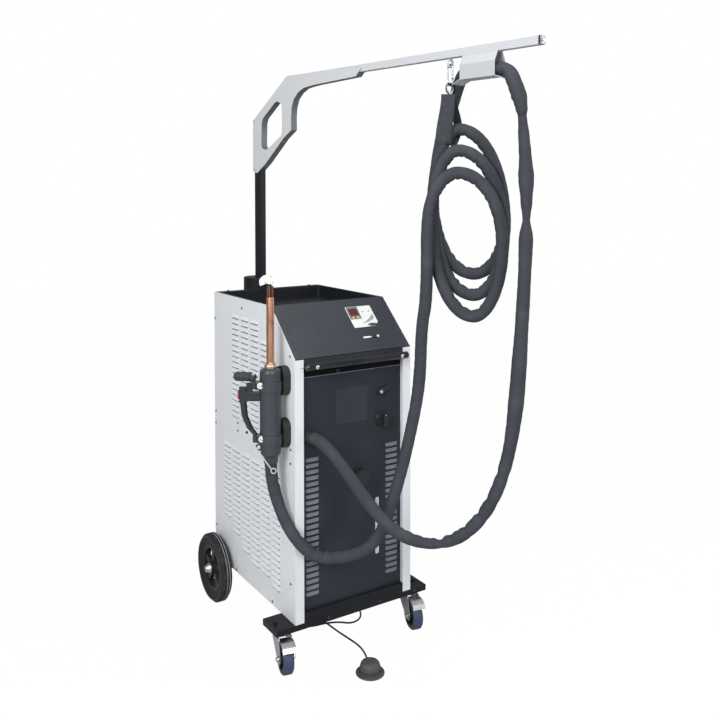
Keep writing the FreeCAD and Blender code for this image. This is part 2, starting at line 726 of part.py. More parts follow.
def castor_fork():
    inner = CASTOR_WIDTH / 2 + FORK_GAP
    outer = inner + FORK_WALL
    crown = box(-outer, outer, -CROWN_RADIUS, CROWN_RADIUS, CROWN_BOTTOM, CROWN_TOP)
    legs = []
    for side in (-1, 1):
        corners = [
            vec(side * inner, CROWN_RADIUS, CROWN_TOP),
            vec(side * inner, -CASTOR_TRAIL, CROWN_TOP),
            vec(side * inner, -CASTOR_TRAIL - AXLE_EAR, CASTOR_AXLE_Z + AXLE_EAR),
            vec(side * inner, -CASTOR_TRAIL - AXLE_EAR, CASTOR_AXLE_Z - AXLE_EAR),
            vec(side * inner, -CASTOR_TRAIL + AXLE_EAR, CASTOR_AXLE_Z - AXLE_EAR),
            vec(side * inner, CROWN_RADIUS, CROWN_TOP - CROWN_RADIUS),
        ]
        rounding = AXLE_EAR / 2
        radii = [rounding, rounding, rounding, rounding, rounding, rounding]
        legs.append(prism(corners, X_AXIS * (side * FORK_WALL), radii))
    axle = rod(CASTOR_AXLE, vec(-outer - FORK_WALL, -CASTOR_TRAIL, CASTOR_AXLE_Z),
               vec(outer + FORK_WALL, -CASTOR_TRAIL, CASTOR_AXLE_Z))
    fork = fused(crown, axle, *legs)
    bore = rod(KINGPIN + RUNNING, vec(0, 0, CROWN_BOTTOM - OVERRUN), vec(0, 0, CROWN_TOP + OVERRUN))
    pivot = vec(0, BRAKE_PIVOT_Y, BRAKE_PIVOT_Z)
    pin = rod(BRAKE_PIN, pivot - X_AXIS * outer, pivot + X_AXIS * outer)
    return fork.cut(bore).fuse(pin)


CASTOR_TREAD = 12.0
CASTOR_HUB = 15.0
CASTOR_WEB = 4.0
TREAD_ROUND = 5.0
RIM_EDGE = 5.0


def castor_wheel():
    """The rim with its hub, and the tread moulded round it, as two solids."""
    half = CASTOR_WIDTH / 2
    hub_half = half + FORK_GAP - FIT
    bore = CASTOR_AXLE + RUNNING
    rim = CASTOR_DIAMETER / 2 - CASTOR_TREAD
    profile = [
        (bore, -hub_half), (CASTOR_HUB, -hub_half), (CASTOR_HUB, -CASTOR_WEB),
        (rim - RIM_EDGE, -CASTOR_WEB), (rim - RIM_EDGE, -half), (rim, -half),
        (rim, half), (rim - RIM_EDGE, half), (rim - RIM_EDGE, CASTOR_WEB),
        (CASTOR_HUB, CASTOR_WEB), (CASTOR_HUB, hub_half), (bore, hub_half),
    ]
    centre = vec(0, -CASTOR_TRAIL, CASTOR_AXLE_Z)
    hub = revolved(profile, centre, X_AXIS, Z_AXIS)
    outer = CASTOR_DIAMETER / 2
    tread = [
        (rim, -half), (outer - TREAD_ROUND, -half), (outer, TREAD_ROUND - half),
        (outer, half - TREAD_ROUND), (outer - TREAD_ROUND, half), (rim, half),
    ]
    return Part.makeCompound([hub, revolved(tread, centre, X_AXIS, Z_AXIS)])


def castor_brake():
    """The stamped foot lever that presses on the tread, hinged across the fork."""
    half = CASTOR_WIDTH / 2 + FORK_GAP - FIT
    pivot = vec(-half, BRAKE_PIVOT_Y, BRAKE_PIVOT_Z)
    eye = rod(BRAKE_EYE, pivot, pivot + X_AXIS * (half + half))
    top = BRAKE_PIVOT_Z + BRAKE_RISE
    front = BRAKE_PIVOT_Y - BRAKE_REACH
    corners = [
        vec(-half, BRAKE_PIVOT_Y + BRAKE_THICK, BRAKE_PIVOT_Z + BRAKE_THICK),
        vec(-half, BRAKE_PIVOT_Y - BRAKE_EYE, top),
        vec(-half, front + BRAKE_DROP, top),
        vec(-half, front, top - BRAKE_DROP),
        vec(-half, front + BRAKE_THICK, top - BRAKE_DROP - BRAKE_THICK),
        vec(-half, front + BRAKE_DROP + BRAKE_THICK, top - BRAKE_THICK),
        vec(-half, BRAKE_PIVOT_Y - BRAKE_EYE, top - BRAKE_THICK),
        vec(-half, BRAKE_PIVOT_Y, BRAKE_PIVOT_Z),
    ]
    plate = prism(corners, X_AXIS * (half + half))
    bore = rod(BRAKE_PIN + RUNNING, pivot - X_AXIS * OVERRUN, pivot + X_AXIS * (half + half + OVERRUN))
    return fused(eye, plate).cut(bore)


RIM_OUTER = 84.0
RIM_INNER = 72.0
RIM_HUB = 24.0
RIM_SPOKES = 5
SPOKE_HALF = 9.0
SPOKE_INSET = 8.0
TYRE_ROUND = 9.0
TYRE_GROOVE = 2.0
TYRE_GROOVE_HALF = 2.0
GROOVE_SHARE = 0.33


def rear_axle():
    """The axle with its spacers, and the caps that hold the wheels on."""
    seat = WHEEL_OUTER + FIT
    shaft = rod(AXLE_DIAMETER / 2, vec(-seat, AXLE_BEHIND, AXLE_Z), vec(seat, AXLE_BEHIND, AXLE_Z))
    solids = []
    for side in (-1, 1):
        spacer_end = vec(side * (WHEEL_INNER - FIT), AXLE_BEHIND, AXLE_Z)
        solids.append(rod(SPACER_RADIUS, vec(side * HALF, AXLE_BEHIND, AXLE_Z), spacer_end))
        start = vec(side * seat, AXLE_BEHIND, AXLE_Z)
        end = start + X_AXIS * (side * HUB_CAP_LENGTH)
        solids.append(cone(HUB_CAP_RADIUS, HUB_CAP_RADIUS - HUB_CAP_LENGTH / 2, start, end))
    return fused(shaft, *solids)


def rear_rim(side):
    centre = vec(side * (WHEEL_INNER + WHEEL_WIDTH / 2), AXLE_BEHIND, AXLE_Z)
    half = WHEEL_WIDTH / 2
    inset = half - SPOKE_INSET
    barrel = pipe(RIM_OUTER, RIM_INNER, centre - X_AXIS * inset, centre + X_AXIS * inset)
    hub = rod(RIM_HUB, centre - X_AXIS * half, centre + X_AXIS * half)
    spokes = []
    for number in range(RIM_SPOKES):
        spoke = box(centre.x - SPOKE_INSET, centre.x + SPOKE_INSET, AXLE_BEHIND - SPOKE_HALF,
                    AXLE_BEHIND + SPOKE_HALF, AXLE_Z + RIM_HUB / 2, AXLE_Z + RIM_INNER + SHEET)
        spokes.append(turned(spoke, centre, X_AXIS, number * FULL / RIM_SPOKES))
    rim = fused(barrel, hub, *spokes)
    reach = X_AXIS * WHEEL_WIDTH
    return rim.cut(rod(AXLE_DIAMETER / 2 + RUNNING, centre - reach, centre + reach))


def rear_tyre(side):
    centre = vec(side * (WHEEL_INNER + WHEEL_WIDTH / 2), AXLE_BEHIND, AXLE_Z)
    half = WHEEL_WIDTH / 2
    outer = WHEEL_DIAMETER / 2
    lip = half - SPOKE_INSET
    profile = [(RIM_OUTER, -lip), (RIM_OUTER, lip), (outer - TYRE_ROUND, half), (outer, half - TYRE_ROUND)]
    for middle in (half * GROOVE_SHARE, -half * GROOVE_SHARE):
        profile.append((outer, middle + TYRE_GROOVE_HALF))
        profile.append((outer - TYRE_GROOVE, middle))
        profile.append((outer, middle - TYRE_GROOVE_HALF))
    profile += [(outer, TYRE_ROUND - half), (outer - TYRE_ROUND, -half)]
    return revolved(profile, centre, X_AXIS, Z_AXIS)


# Inside the cabinet

TANK_LEFT = -20.0
TANK_RIGHT = 130.0
TANK_BOTTOM = 230.0
TANK_TOP = 625.0
TANK_GAP = 8.0
TANK_DEEP = 120.0
TANK_ROUND = 12.0
TANK_LEG = 20.0
TANK_FRONT = PANEL_BACK + TANK_GAP
PUMP_X = -90.0
PUMP_Y = -150.0
PUMP_RADIUS = 45.0
PUMP_LENGTH = 130.0
PUMP_HEAD = 34.0
PUMP_FOOT = 30.0
PUMP_FOOT_THICK = 6.0
INVERTER_LEFT = 60.0
INVERTER_WIDTH = 100.0
INVERTER_FRONT = -60.0
INVERTER_DEEP = 170.0
INVERTER_TALL = 500.0
INVERTER_FINS = 9
INVERTER_FIN = 3.0
INVERTER_FIN_DEEP = 35.0
CORE_X = -110.0
CORE_Y = 60.0
CORE_WIDE = 130.0
CORE_DEEP = 60.0
CORE_TALL = 140.0
COIL_OVER = 22.0
COIL_TALL = 96.0


def coolant_tank():
    back = TANK_FRONT + TANK_DEEP
    corners = [vec(TANK_LEFT, TANK_FRONT, TANK_BOTTOM), vec(TANK_RIGHT, TANK_FRONT, TANK_BOTTOM),
               vec(TANK_RIGHT, back, TANK_BOTTOM), vec(TANK_LEFT, back, TANK_BOTTOM)]
    tank = prism(corners, Z_AXIS * (TANK_TOP - TANK_BOTTOM), [TANK_ROUND] * len(corners))
    neck = rod(NECK_RADIUS, vec(CAP_X, TANK_FRONT, CAP_Z), vec(CAP_X, PANEL_FACE - NECK_REACH, CAP_Z))
    throat = rod(NECK_RADIUS - NECK_WALL, vec(CAP_X, TANK_FRONT + TANK_ROUND, CAP_Z),
                 vec(CAP_X, PANEL_FACE - NECK_REACH - OVERRUN, CAP_Z))
    legs = []
    for x in (TANK_LEFT + TANK_ROUND, TANK_RIGHT - TANK_ROUND - TANK_LEG):
        legs.append(box(x, x + TANK_LEG, TANK_FRONT + TANK_ROUND, back - TANK_ROUND, FLOOR_TOP, TANK_BOTTOM))
    return fused(tank, neck, *legs).cut(throat)


def coolant_pump():
    axis_z = FLOOR_TOP + PUMP_RADIUS + PUMP_FOOT_THICK
    start = vec(PUMP_X, PUMP_Y, axis_z)
    motor = rod(PUMP_RADIUS, start, start + Y_AXIS * PUMP_LENGTH)
    head = cone(PUMP_RADIUS - PUMP_FOOT_THICK, PUMP_FOOT, start, start - Y_AXIS * PUMP_HEAD)
    port = rod(PUMP_FOOT / 3, start - Y_AXIS * (PUMP_HEAD / 2),
               start - Y_AXIS * (PUMP_HEAD / 2) + Z_AXIS * (PUMP_RADIUS + PUMP_FOOT_THICK))
    foot = box(PUMP_X - PUMP_FOOT, PUMP_X + PUMP_FOOT, PUMP_Y + PUMP_HEAD, PUMP_Y + PUMP_LENGTH - PUMP_FOOT,
               FLOOR_TOP, axis_z - PUMP_FOOT)
    return fused(motor, head, port, foot)


def inverter_module():
    right = INVERTER_LEFT + INVERTER_WIDTH
    back = INVERTER_FRONT + INVERTER_DEEP
    top = FLOOR_TOP + INVERTER_TALL
    case = box(INVERTER_LEFT, right, INVERTER_FRONT, back - INVERTER_FIN_DEEP, FLOOR_TOP, top)
    fins = []
    step = (INVERTER_WIDTH - INVERTER_FIN) / (INVERTER_FINS - 1)
    for number in range(INVERTER_FINS):
        x = INVERTER_LEFT + number * step
        fins.append(box(x, x + INVERTER_FIN, back - INVERTER_FIN_DEEP, back, FLOOR_TOP, top))
    return fused(case, *fins)


def transformer():
    half = CORE_WIDE / 2
    core = box(CORE_X - half, CORE_X + half, CORE_Y - CORE_DEEP / 2, CORE_Y + CORE_DEEP / 2,
               FLOOR_TOP, FLOOR_TOP + CORE_TALL)
    inset = (CORE_TALL - COIL_TALL) / 2
    wide = half - COIL_OVER
    corners = [vec(CORE_X - wide, CORE_Y - CORE_DEEP / 2 - COIL_OVER, FLOOR_TOP + inset),
               vec(CORE_X + wide, CORE_Y - CORE_DEEP / 2 - COIL_OVER, FLOOR_TOP + inset),
               vec(CORE_X + wide, CORE_Y + CORE_DEEP / 2 + COIL_OVER, FLOOR_TOP + inset),
               vec(CORE_X - wide, CORE_Y + CORE_DEEP / 2 + COIL_OVER, FLOOR_TOP + inset)]
    coil = prism(corners, Z_AXIS * COIL_TALL, [COIL_OVER / 2] * len(corners))
    return fused(core, coil)


# Mast socket, mast and arm

SOCKET_WALL = 5.0
LEDGE = 20.0
BRACKET_HALF = 26.0
BRACKET_TALL = 50.0
BRACKET_PLATE_HALF = 60.0
BRACKET_PLATE = 4.0
BRACKET_LOW = 790.0
BRACKET_HIGH = 1040.0
CUP_CHAMFER = 3.0


def mast_socket():
    spigot = SPIGOT_DIAMETER / 2
    bottom = SOCKET_BOTTOM - SOCKET_WALL
    barrel = rod(spigot + SOCKET_WALL, vec(0, MAST_Y, bottom), vec(0, MAST_Y, CUP_BOTTOM))
    cup = rod(CUP_DIAMETER / 2, vec(0, MAST_Y + CUP_OFFSET, CUP_BOTTOM), vec(0, MAST_Y + CUP_OFFSET, CUP_TOP))
    cup = cup.makeChamfer(CUP_CHAMFER, round_edges(cup))
    brackets = []
    for z in (BRACKET_LOW, BRACKET_HIGH):
        brackets.append(box(-BRACKET_HALF, BRACKET_HALF, REAR_PANEL_FACE, MAST_Y, z, z + BRACKET_TALL))
        brackets.append(box(-BRACKET_PLATE_HALF, BRACKET_PLATE_HALF, REAR_PANEL_FACE,
                            REAR_PANEL_FACE + BRACKET_PLATE, z, z + BRACKET_TALL))
    socket = fused(barrel, cup, *brackets)
    bore = rod(spigot + RUNNING, vec(0, MAST_Y, SOCKET_BOTTOM), vec(0, MAST_Y, CUP_TOP))
    corner = math.hypot(MAST_LONG, MAST_ACROSS) / 2
    well = rod(corner + FIT, vec(0, MAST_Y, CUP_BOTTOM + LEDGE), vec(0, MAST_Y, CUP_TOP + OVERRUN))
    return socket.cut(bore).cut(well)


def mast():
    foot = vec(0, MAST_Y, SOCKET_BOTTOM + FIT)
    spigot = rod(SPIGOT_DIAMETER / 2, foot, vec(0, MAST_Y, CUP_BOTTOM + LEDGE + FIT))
    return on_arm(fused(spigot, mast_bar(0)))


def mast_bar(grow):
    long_half = MAST_LONG / 2 + grow
    across_half = MAST_ACROSS / 2 + grow
    return box(-across_half, across_half, MAST_Y - long_half, MAST_Y + long_half,
               CUP_BOTTOM + LEDGE + FIT, MAST_TOP)


HEAD_HALF = 14.5
HEAD_OUTLINE = (
    (-54.0, 1643.0), (-54.0, 1858.0), (185.0, 2010.0), (626.0, 2010.0), (620.0, 1990.0), (590.0, 1966.0),
    (307.0, 1964.0), (205.0, 1877.0), (204.5, 1800.0), (39.0, 1668.0), (-25.0, 1635.0),
)
HEAD_CORNERS = (16.0, 5.0, 8.0, 0.0, 0.0, 6.0, 34.0, 60.0, 22.0, 20.0, 14.0)
HEAD_WINDOW = (
    (8.7, 1857.0), (113.8, 1916.0), (139.7, 1905.0), (141.0, 1786.5), (57.8, 1736.0), (33.0, 1725.0),
    (8.0, 1744.0),
)
HEAD_WINDOW_CORNERS = (8.0, 10.0, 12.0, 12.0, 0.0, 10.0, 12.0)


def arm_profile(outline, across):
    return [vec(across, MAST_Y - along, height) for along, height in outline]


def head_bracket():
    """A folded sheet box: two cheeks joined by a rim, with a window cut through both."""
    width = HEAD_HALF + HEAD_HALF
    face = Part.Face(wire_of(arm_profile(HEAD_OUTLINE, -HEAD_HALF), HEAD_CORNERS))
    body = face.extrude(X_AXIS * width)
    inner = face.makeOffset2D(-SHEET)
    hollow = inner.extrude(X_AXIS * (width - SHEET - SHEET))
    hollow.translate(X_AXIS * SHEET)
    window_face = Part.Face(wire_of(arm_profile(HEAD_WINDOW, -HEAD_HALF), HEAD_WINDOW_CORNERS))
    window = window_face.extrude(X_AXIS * width)
    collar = window_face.makeOffset2D(SHEET).extrude(X_AXIS * width)
    bracket = body.cut(hollow.cut(collar)).cut(window)
    return on_arm(bracket.cut(mast_bar(0)).cut(arm_bar(ARM_REACH)))


def arm_bar(reach):
    half = ARM_SIZE / 2
    return box(-half, half, MAST_Y - ARM_BACK, MAST_Y - reach, ARM_TOP - ARM_SIZE, ARM_TOP)


ARM_WALL = 2.0
EYE_ALONG = 1018.0
EYE_RING = 11.5
EYE_WIRE = 4.0
CLIP_HALF = 9.5
CLIP_WIRE = 2.5
CLIP_TALL = 66.3
GATE_WIRE = 2.2
GATE_UP = 21.5
GATE_LENGTH = 26.0
RING_OUTER = 17.0
RING_INNER = 13.0
RING_THICK = 4.0
RING_TILTS = (38.0, 8.0)
RING_APART = 0.6

ARM_BOTTOM = ARM_TOP - ARM_SIZE
EYE_Z = ARM_BOTTOM - EYE_RING - EYE_WIRE
CLIP_TOP = EYE_Z - EYE_RING + EYE_WIRE + CLIP_WIRE + FIT
CLIP_BOTTOM = CLIP_TOP - CLIP_TALL
GATE_LOW = CLIP_BOTTOM + GATE_UP
GATE_HIGH = GATE_LOW + GATE_LENGTH


def arm_tube():
    tube = arm_bar(ARM_REACH)
    inner = ARM_SIZE / 2 - ARM_WALL
    hollow = box(-inner, inner, MAST_Y - ARM_BACK + OVERRUN, MAST_Y - ARM_REACH - OVERRUN,
                 ARM_BOTTOM + ARM_WALL, ARM_TOP - ARM_WALL)
    y = MAST_Y - EYE_ALONG
    eye = Part.makeTorus(EYE_RING, EYE_WIRE, vec(0, y, EYE_Z), Y_AXIS)
    shank = rod(EYE_WIRE, vec(0, y, EYE_Z + EYE_RING), vec(0, y, ARM_BOTTOM + ARM_WALL))
    return on_arm(fused(tube.cut(hollow), eye, shank))


CAP_PLUG = 20.0
CAP_FACE = 18.0
CAP_BOLT = 4.0
CAP_BOLT_PROUD = 3.0


def arm_end_cap():
    half = ARM_SIZE / 2
    start = MAST_Y - ARM_REACH
    head = box(-half, half, start, start - CAP_FACE, ARM_BOTTOM, ARM_TOP)
    inner = half - ARM_WALL - FIT
    middle = ARM_TOP - half
    plug = box(-inner, inner, start, start + CAP_PLUG, middle - inner, middle + inner)
    bolt_y = start - CAP_FACE / 2
    bolt = rod(CAP_BOLT, vec(0, bolt_y, ARM_TOP), vec(0, bolt_y, ARM_TOP + CAP_BOLT_PROUD))
    return on_arm(fused(head, plug, bolt))


SADDLE_BACK = 1079.0
SADDLE_FRONT = 1215.0
SADDLE_HALF = 27.0
SADDLE_NECK = 12.5
SADDLE_SLANT = 30.0
SADDLE_SIDE = 46.0
SADDLE_LIP = 30.0
SADDLE_LIP_DROP = 10.0
SADDLE_BEND = ARM_BOTTOM - SADDLE_SLANT
SADDLE_BOTTOM = SADDLE_BEND - SADDLE_SIDE


def hose_saddle():
    """A folded sheet channel under the arm that the hose lies in, with its lips bent down."""
    front = MAST_Y - SADDLE_FRONT
    long = SADDLE_FRONT - SADDLE_BACK
    walls = []
    for side in (-1, 1):
        outline = [
            vec(0, front, ARM_BOTTOM),
            vec(side * SADDLE_NECK, front, ARM_BOTTOM),
            vec(side * SADDLE_HALF, front, SADDLE_BEND),
            vec(side * SADDLE_HALF, front, SADDLE_BOTTOM),
            vec(0, front, SADDLE_BOTTOM),
            vec(0, front, SADDLE_BOTTOM + SHEET),
            vec(side * (SADDLE_HALF - SHEET), front, SADDLE_BOTTOM + SHEET),
            vec(side * (SADDLE_HALF - SHEET), front, SADDLE_BEND),
            vec(side * (SADDLE_NECK - SHEET), front, ARM_BOTTOM - SHEET),
            vec(0, front, ARM_BOTTOM - SHEET),
        ]
        walls.append(prism(outline, Y_AXIS * long))
    lips = []
    for start, way in ((SADDLE_BACK, 1), (SADDLE_FRONT, -1)):
        y = MAST_Y - start
        corners = [
            vec(-SADDLE_HALF, y, SADDLE_BOTTOM + SHEET),
            vec(-SADDLE_HALF, y + way * SADDLE_LIP, SADDLE_BOTTOM - SADDLE_LIP_DROP),
            vec(-SADDLE_HALF, y + way * SADDLE_LIP, SADDLE_BOTTOM - SADDLE_LIP_DROP - SHEET),
            vec(-SADDLE_HALF, y, SADDLE_BOTTOM),
        ]
        lips.append(prism(corners, X_AXIS * (SADDLE_HALF + SADDLE_HALF)))
    return on_arm(fused(walls[0], walls[1], *lips))


def carabiner():
    """The clip's open wire without its gate, and the two rings of the sling hung on it."""
    y = MAST_Y - EYE_ALONG
    top = CLIP_TOP - CLIP_HALF
    bottom = CLIP_BOTTOM + CLIP_HALF
    gate = y - CLIP_HALF
    back = y + CLIP_HALF
    start = vec(0, gate, GATE_HIGH + FIT)
    steps = [
        (vec(0, gate, top), False),
        (vec(0, back, top), True),
        (vec(0, back, bottom), False),
        (vec(0, gate, bottom), True),
        (vec(0, gate, GATE_LOW - GATE_WIRE - FIT), False),
    ]
    solids = [swept("carabiner", CLIP_WIRE + CLIP_WIRE, start, Z_AXIS, steps)]
    wire = vec(0, y, CLIP_BOTTOM)
    centre = wire + Z_AXIS * (CLIP_WIRE + FIT - RING_INNER)
    for side, tilt in zip((-1, 1), RING_TILTS):
        near = centre + Y_AXIS * (side * (RING_APART + RING_THICK))
        far = centre + Y_AXIS * (side * RING_APART)
        solids.append(turned(pipe(RING_OUTER, RING_INNER, near, far), wire, Y_AXIS, tilt))
    return on_arm(Part.makeCompound(solids))


def carabiner_gate():
    y = MAST_Y - EYE_ALONG
    pivot = vec(0, y - CLIP_HALF, GATE_LOW)
    gate = rod(GATE_WIRE, pivot, vec(0, y - CLIP_HALF, GATE_HIGH))
    knuckle = rod(GATE_WIRE, pivot - X_AXIS * CLIP_WIRE, pivot + X_AXIS * CLIP_WIRE)
    return on_arm(gate.fuse(knuckle))


# Torch

TORCH_X = -HALF - TORCH_OUT
TORCH_Y = FRONT + TORCH_BACK
TORCH_RADIUS = TORCH_DIAMETER / 2
TORCH_SHOULDER = 12.0
TORCH_WAIST = 2.0
TAIL_LENGTH = 25.0
TAIL_RADIUS = 22.5
CLAMP_HIGH = 914.0
CLAMP_LOW = 740.0
CLAMP_TALL = 31.0
CLAMP_THICK = 3.5
EAR_REACH = 58.0
EAR_HALF = 8.0
EAR_INSET = 4.0
CLAMP_SCREW = 4.0
CLAMP_WASHER = 9.0
COLLAR_RADIUS = 18.0
COLLAR_TALL = 18.0
SLEEVE_RADIUS = 17.0
SLEEVE_TALL = 33.0
SLEEVE_OFF = 3.0
LEAD_RADIUS = 3.0
LEAD_APART = 8.0
LOOP_WIRE = 9.0
SCREW_ALONG = 44.0
CLAMP_BORE = TORCH_RADIUS + RUNNING
LOOP_RING = 14.0
SHOULDER_SHARE = 0.33
COLLAR_SHARE = 0.67


def torch_housing():
    height = TORCH_TOP - TORCH_BOTTOM
    waist = TORCH_RADIUS - TORCH_WAIST
    cap = CLAMP_LOW - TORCH_BOTTOM
    profile = [
        (0, -TAIL_LENGTH), (TAIL_RADIUS, -TAIL_LENGTH), (TAIL_RADIUS + TORCH_WAIST, 0),
        (waist - TORCH_SHOULDER / 2, 0), (waist, TORCH_SHOULDER / 2), (TORCH_RADIUS, cap),
        (TORCH_RADIUS, height - TORCH_SHOULDER),
        (TORCH_RADIUS - TORCH_WAIST, height - TORCH_SHOULDER * SHOULDER_SHARE),
        (TORCH_RADIUS - TORCH_SHOULDER, height), (0, height),
    ]
    return on_torch(revolved(profile, vec(0, 0, TORCH_BOTTOM), Z_AXIS))


def torch_barrel():
    height = PIPE_TOP - TORCH_TOP
    radius = PIPE_DIAMETER / 2
    profile = [
        (0, 0), (COLLAR_RADIUS, 0), (COLLAR_RADIUS, COLLAR_TALL * COLLAR_SHARE), (radius, COLLAR_TALL),
        (radius, height), (0, height),
    ]
    body = revolved(profile, vec(0, 0, TORCH_TOP), Z_AXIS)
    start = vec(SLEEVE_OFF, 0, PIPE_TOP - SLEEVE_TALL)
    return on_torch(fused(body, rod(SLEEVE_RADIUS, start, start + Z_AXIS * SLEEVE_TALL)))


def inductor():
    """Two leads that end in a sleeved work coil of one turn."""
    centre = TIP_TOP - LOOP_WIRE - LOOP_RING
    leads = []
    for side in (-1, 1):
        x = side * LEAD_APART
        leads.append(rod(LEAD_RADIUS, vec(x, 0, PIPE_TOP), vec(x, 0, centre - LOOP_RING)))
    loop = Part.makeTorus(LOOP_RING, LOOP_WIRE, vec(SLEEVE_OFF, 0, centre), Y_AXIS)
    return on_torch(fused(loop, *leads))


def clamp_bands(bottom):
    top = bottom + CLAMP_TALL
    band = pipe(TORCH_RADIUS + CLAMP_THICK, CLAMP_BORE, vec(0, 0, bottom), vec(0, 0, top))
    ear = box(TORCH_RADIUS, EAR_REACH, -EAR_HALF, EAR_HALF, bottom + EAR_INSET, top - EAR_INSET)
    ear = ear.cut(rod(CLAMP_BORE, vec(0, 0, bottom), vec(0, 0, top)))
    middle = bottom + CLAMP_TALL / 2
    through = vec(SCREW_ALONG, 0, middle)
    hole = rod(CLAMP_SCREW, through - Y_AXIS * (EAR_HALF + OVERRUN), through + Y_AXIS * (EAR_HALF + OVERRUN))
    screw_end = Y_AXIS * (EAR_HALF + CLAMP_SCREW)
    screw = rod(CLAMP_SCREW - RUNNING, through - screw_end, through + screw_end)
    washers = []
    for way in (Y_AXIS, -Y_AXIS):
        seat = through + way * EAR_HALF
        washers.append(rod(CLAMP_WASHER, seat, seat + way * (CLAMP_SCREW - SHEET)))
    return [fused(band, ear).cut(hole), fused(screw, *washers)]


def torch_clamps():
    solids = clamp_bands(CLAMP_HIGH) + clamp_bands(CLAMP_LOW)
    return on_torch(Part.makeCompound(solids))


HANDLE_ARM_LOW = 880.0
HANDLE_ARM_HIGH = 909.0
HANDLE_ARM_HALF = 11.0
HANDLE_HEAD_LOW = 876.0
HANDLE_HEAD_HIGH = 924.0
HANDLE_HEAD_IN = 76.0
HANDLE_HEAD_OUT = 102.0
HANDLE_MID_HIGH = 830.0
HANDLE_MID_LOW = 790.0
HANDLE_MID_ALONG = 84.0
HANDLE_LOW_ALONG = 67.0
HANDLE_MID_HALF = 10.5
HANDLE_LOW_HALF = 9.0
BUTTON_Z = 899.0
BUTTON_HALF = 7.0
BUTTON_TALL = 13.0
BUTTON_PROUD = 4.0
BUTTON_DEEP = 8.0
BUTTON_TRAVEL = 3.0
GRIP_PIVOT_ALONG = 57.0
GRIP_PIVOT_Z = 957.0
GRIP_RADIUS = 13.5
GRIP_LENGTH = 84.0
GRIP_START = 14.0
GRIP_TURN = 49.0
GRIP_RISE = 7.0
GRIP_EYE = 9.0
GRIP_EYE_TALL = 14.0
GRIP_PIN = 4.0
LINK_HALF = 6.0


def torch_handle():
    """The grip with its head and upper arm, and the link that carries the side grip."""
    sections = [
        (HANDLE_HEAD_LOW, (HANDLE_HEAD_IN + HANDLE_HEAD_OUT) / 2, HANDLE_ARM_HALF),
        (HANDLE_MID_HIGH, HANDLE_MID_ALONG, HANDLE_MID_HALF),
        (HANDLE_MID_LOW, HANDLE_LOW_ALONG, HANDLE_MID_HALF),
        (CLAMP_LOW + CLAMP_TALL - EAR_INSET, EAR_REACH - HANDLE_MID_HALF, HANDLE_LOW_HALF),
    ]
    wires = []
    for height, along, half in sections:
        wires.append(Part.Wire(Part.makeCircle(half, vec(along, 0, height), Z_AXIS)))
    grip = Part.makeLoft(wires, True, True)
    half = HANDLE_ARM_HALF
    head = box(HANDLE_HEAD_IN, HANDLE_HEAD_OUT, -half, half, HANDLE_HEAD_LOW, HANDLE_HEAD_HIGH)
    uprights = [edge for edge in head.Edges if abs(edge.tangentAt(edge.FirstParameter).z) > FIT]
    head = head.makeFillet(half / 2, uprights)
    arm = box(0, HANDLE_HEAD_IN + half, -half, half, HANDLE_ARM_LOW, HANDLE_ARM_HIGH)
    body_foot = vec(0, 0, HANDLE_ARM_LOW - OVERRUN)
    arm = arm.cut(rod(TORCH_RADIUS + RUNNING, body_foot, vec(0, 0, HANDLE_ARM_HIGH + OVERRUN)))
    wide = BUTTON_HALF + RUNNING
    tall = BUTTON_TALL + RUNNING
    pocket = box(HANDLE_HEAD_OUT - BUTTON_DEEP, HANDLE_HEAD_OUT + OVERRUN, -wide, wide,
                 BUTTON_Z - tall, BUTTON_Z + tall)
    handle = fused(grip, head, arm).cut(pocket)
    return on_torch(fused(handle, grip_link()))


def grip_link():
    top = GRIP_PIVOT_Z - GRIP_EYE_TALL / 2 - FIT
    ear_top = CLAMP_HIGH + CLAMP_TALL - EAR_INSET
    post = box(GRIP_PIVOT_ALONG - GRIP_EYE, GRIP_PIVOT_ALONG + GRIP_EYE, -LINK_HALF, LINK_HALF, ear_top, top)
    riser_top = GRIP_PIVOT_Z - GRIP_RADIUS - LINK_HALF
    riser = box(EAR_REACH, HANDLE_HEAD_IN + SHEET, -LINK_HALF, LINK_HALF, HANDLE_ARM_LOW, riser_top)
    pin_top = vec(GRIP_PIVOT_ALONG, 0, GRIP_PIVOT_Z + GRIP_EYE_TALL / 2)
    pin = rod(GRIP_PIN, vec(GRIP_PIVOT_ALONG, 0, top), pin_top)
    return fused(post, riser, pin)


def torch_button():
    inner = HANDLE_HEAD_OUT - BUTTON_DEEP + BUTTON_TRAVEL + FIT
    return on_torch(box(inner, HANDLE_HEAD_OUT + BUTTON_PROUD, -BUTTON_HALF, BUTTON_HALF,
                        BUTTON_Z - BUTTON_TALL, BUTTON_Z + BUTTON_TALL))


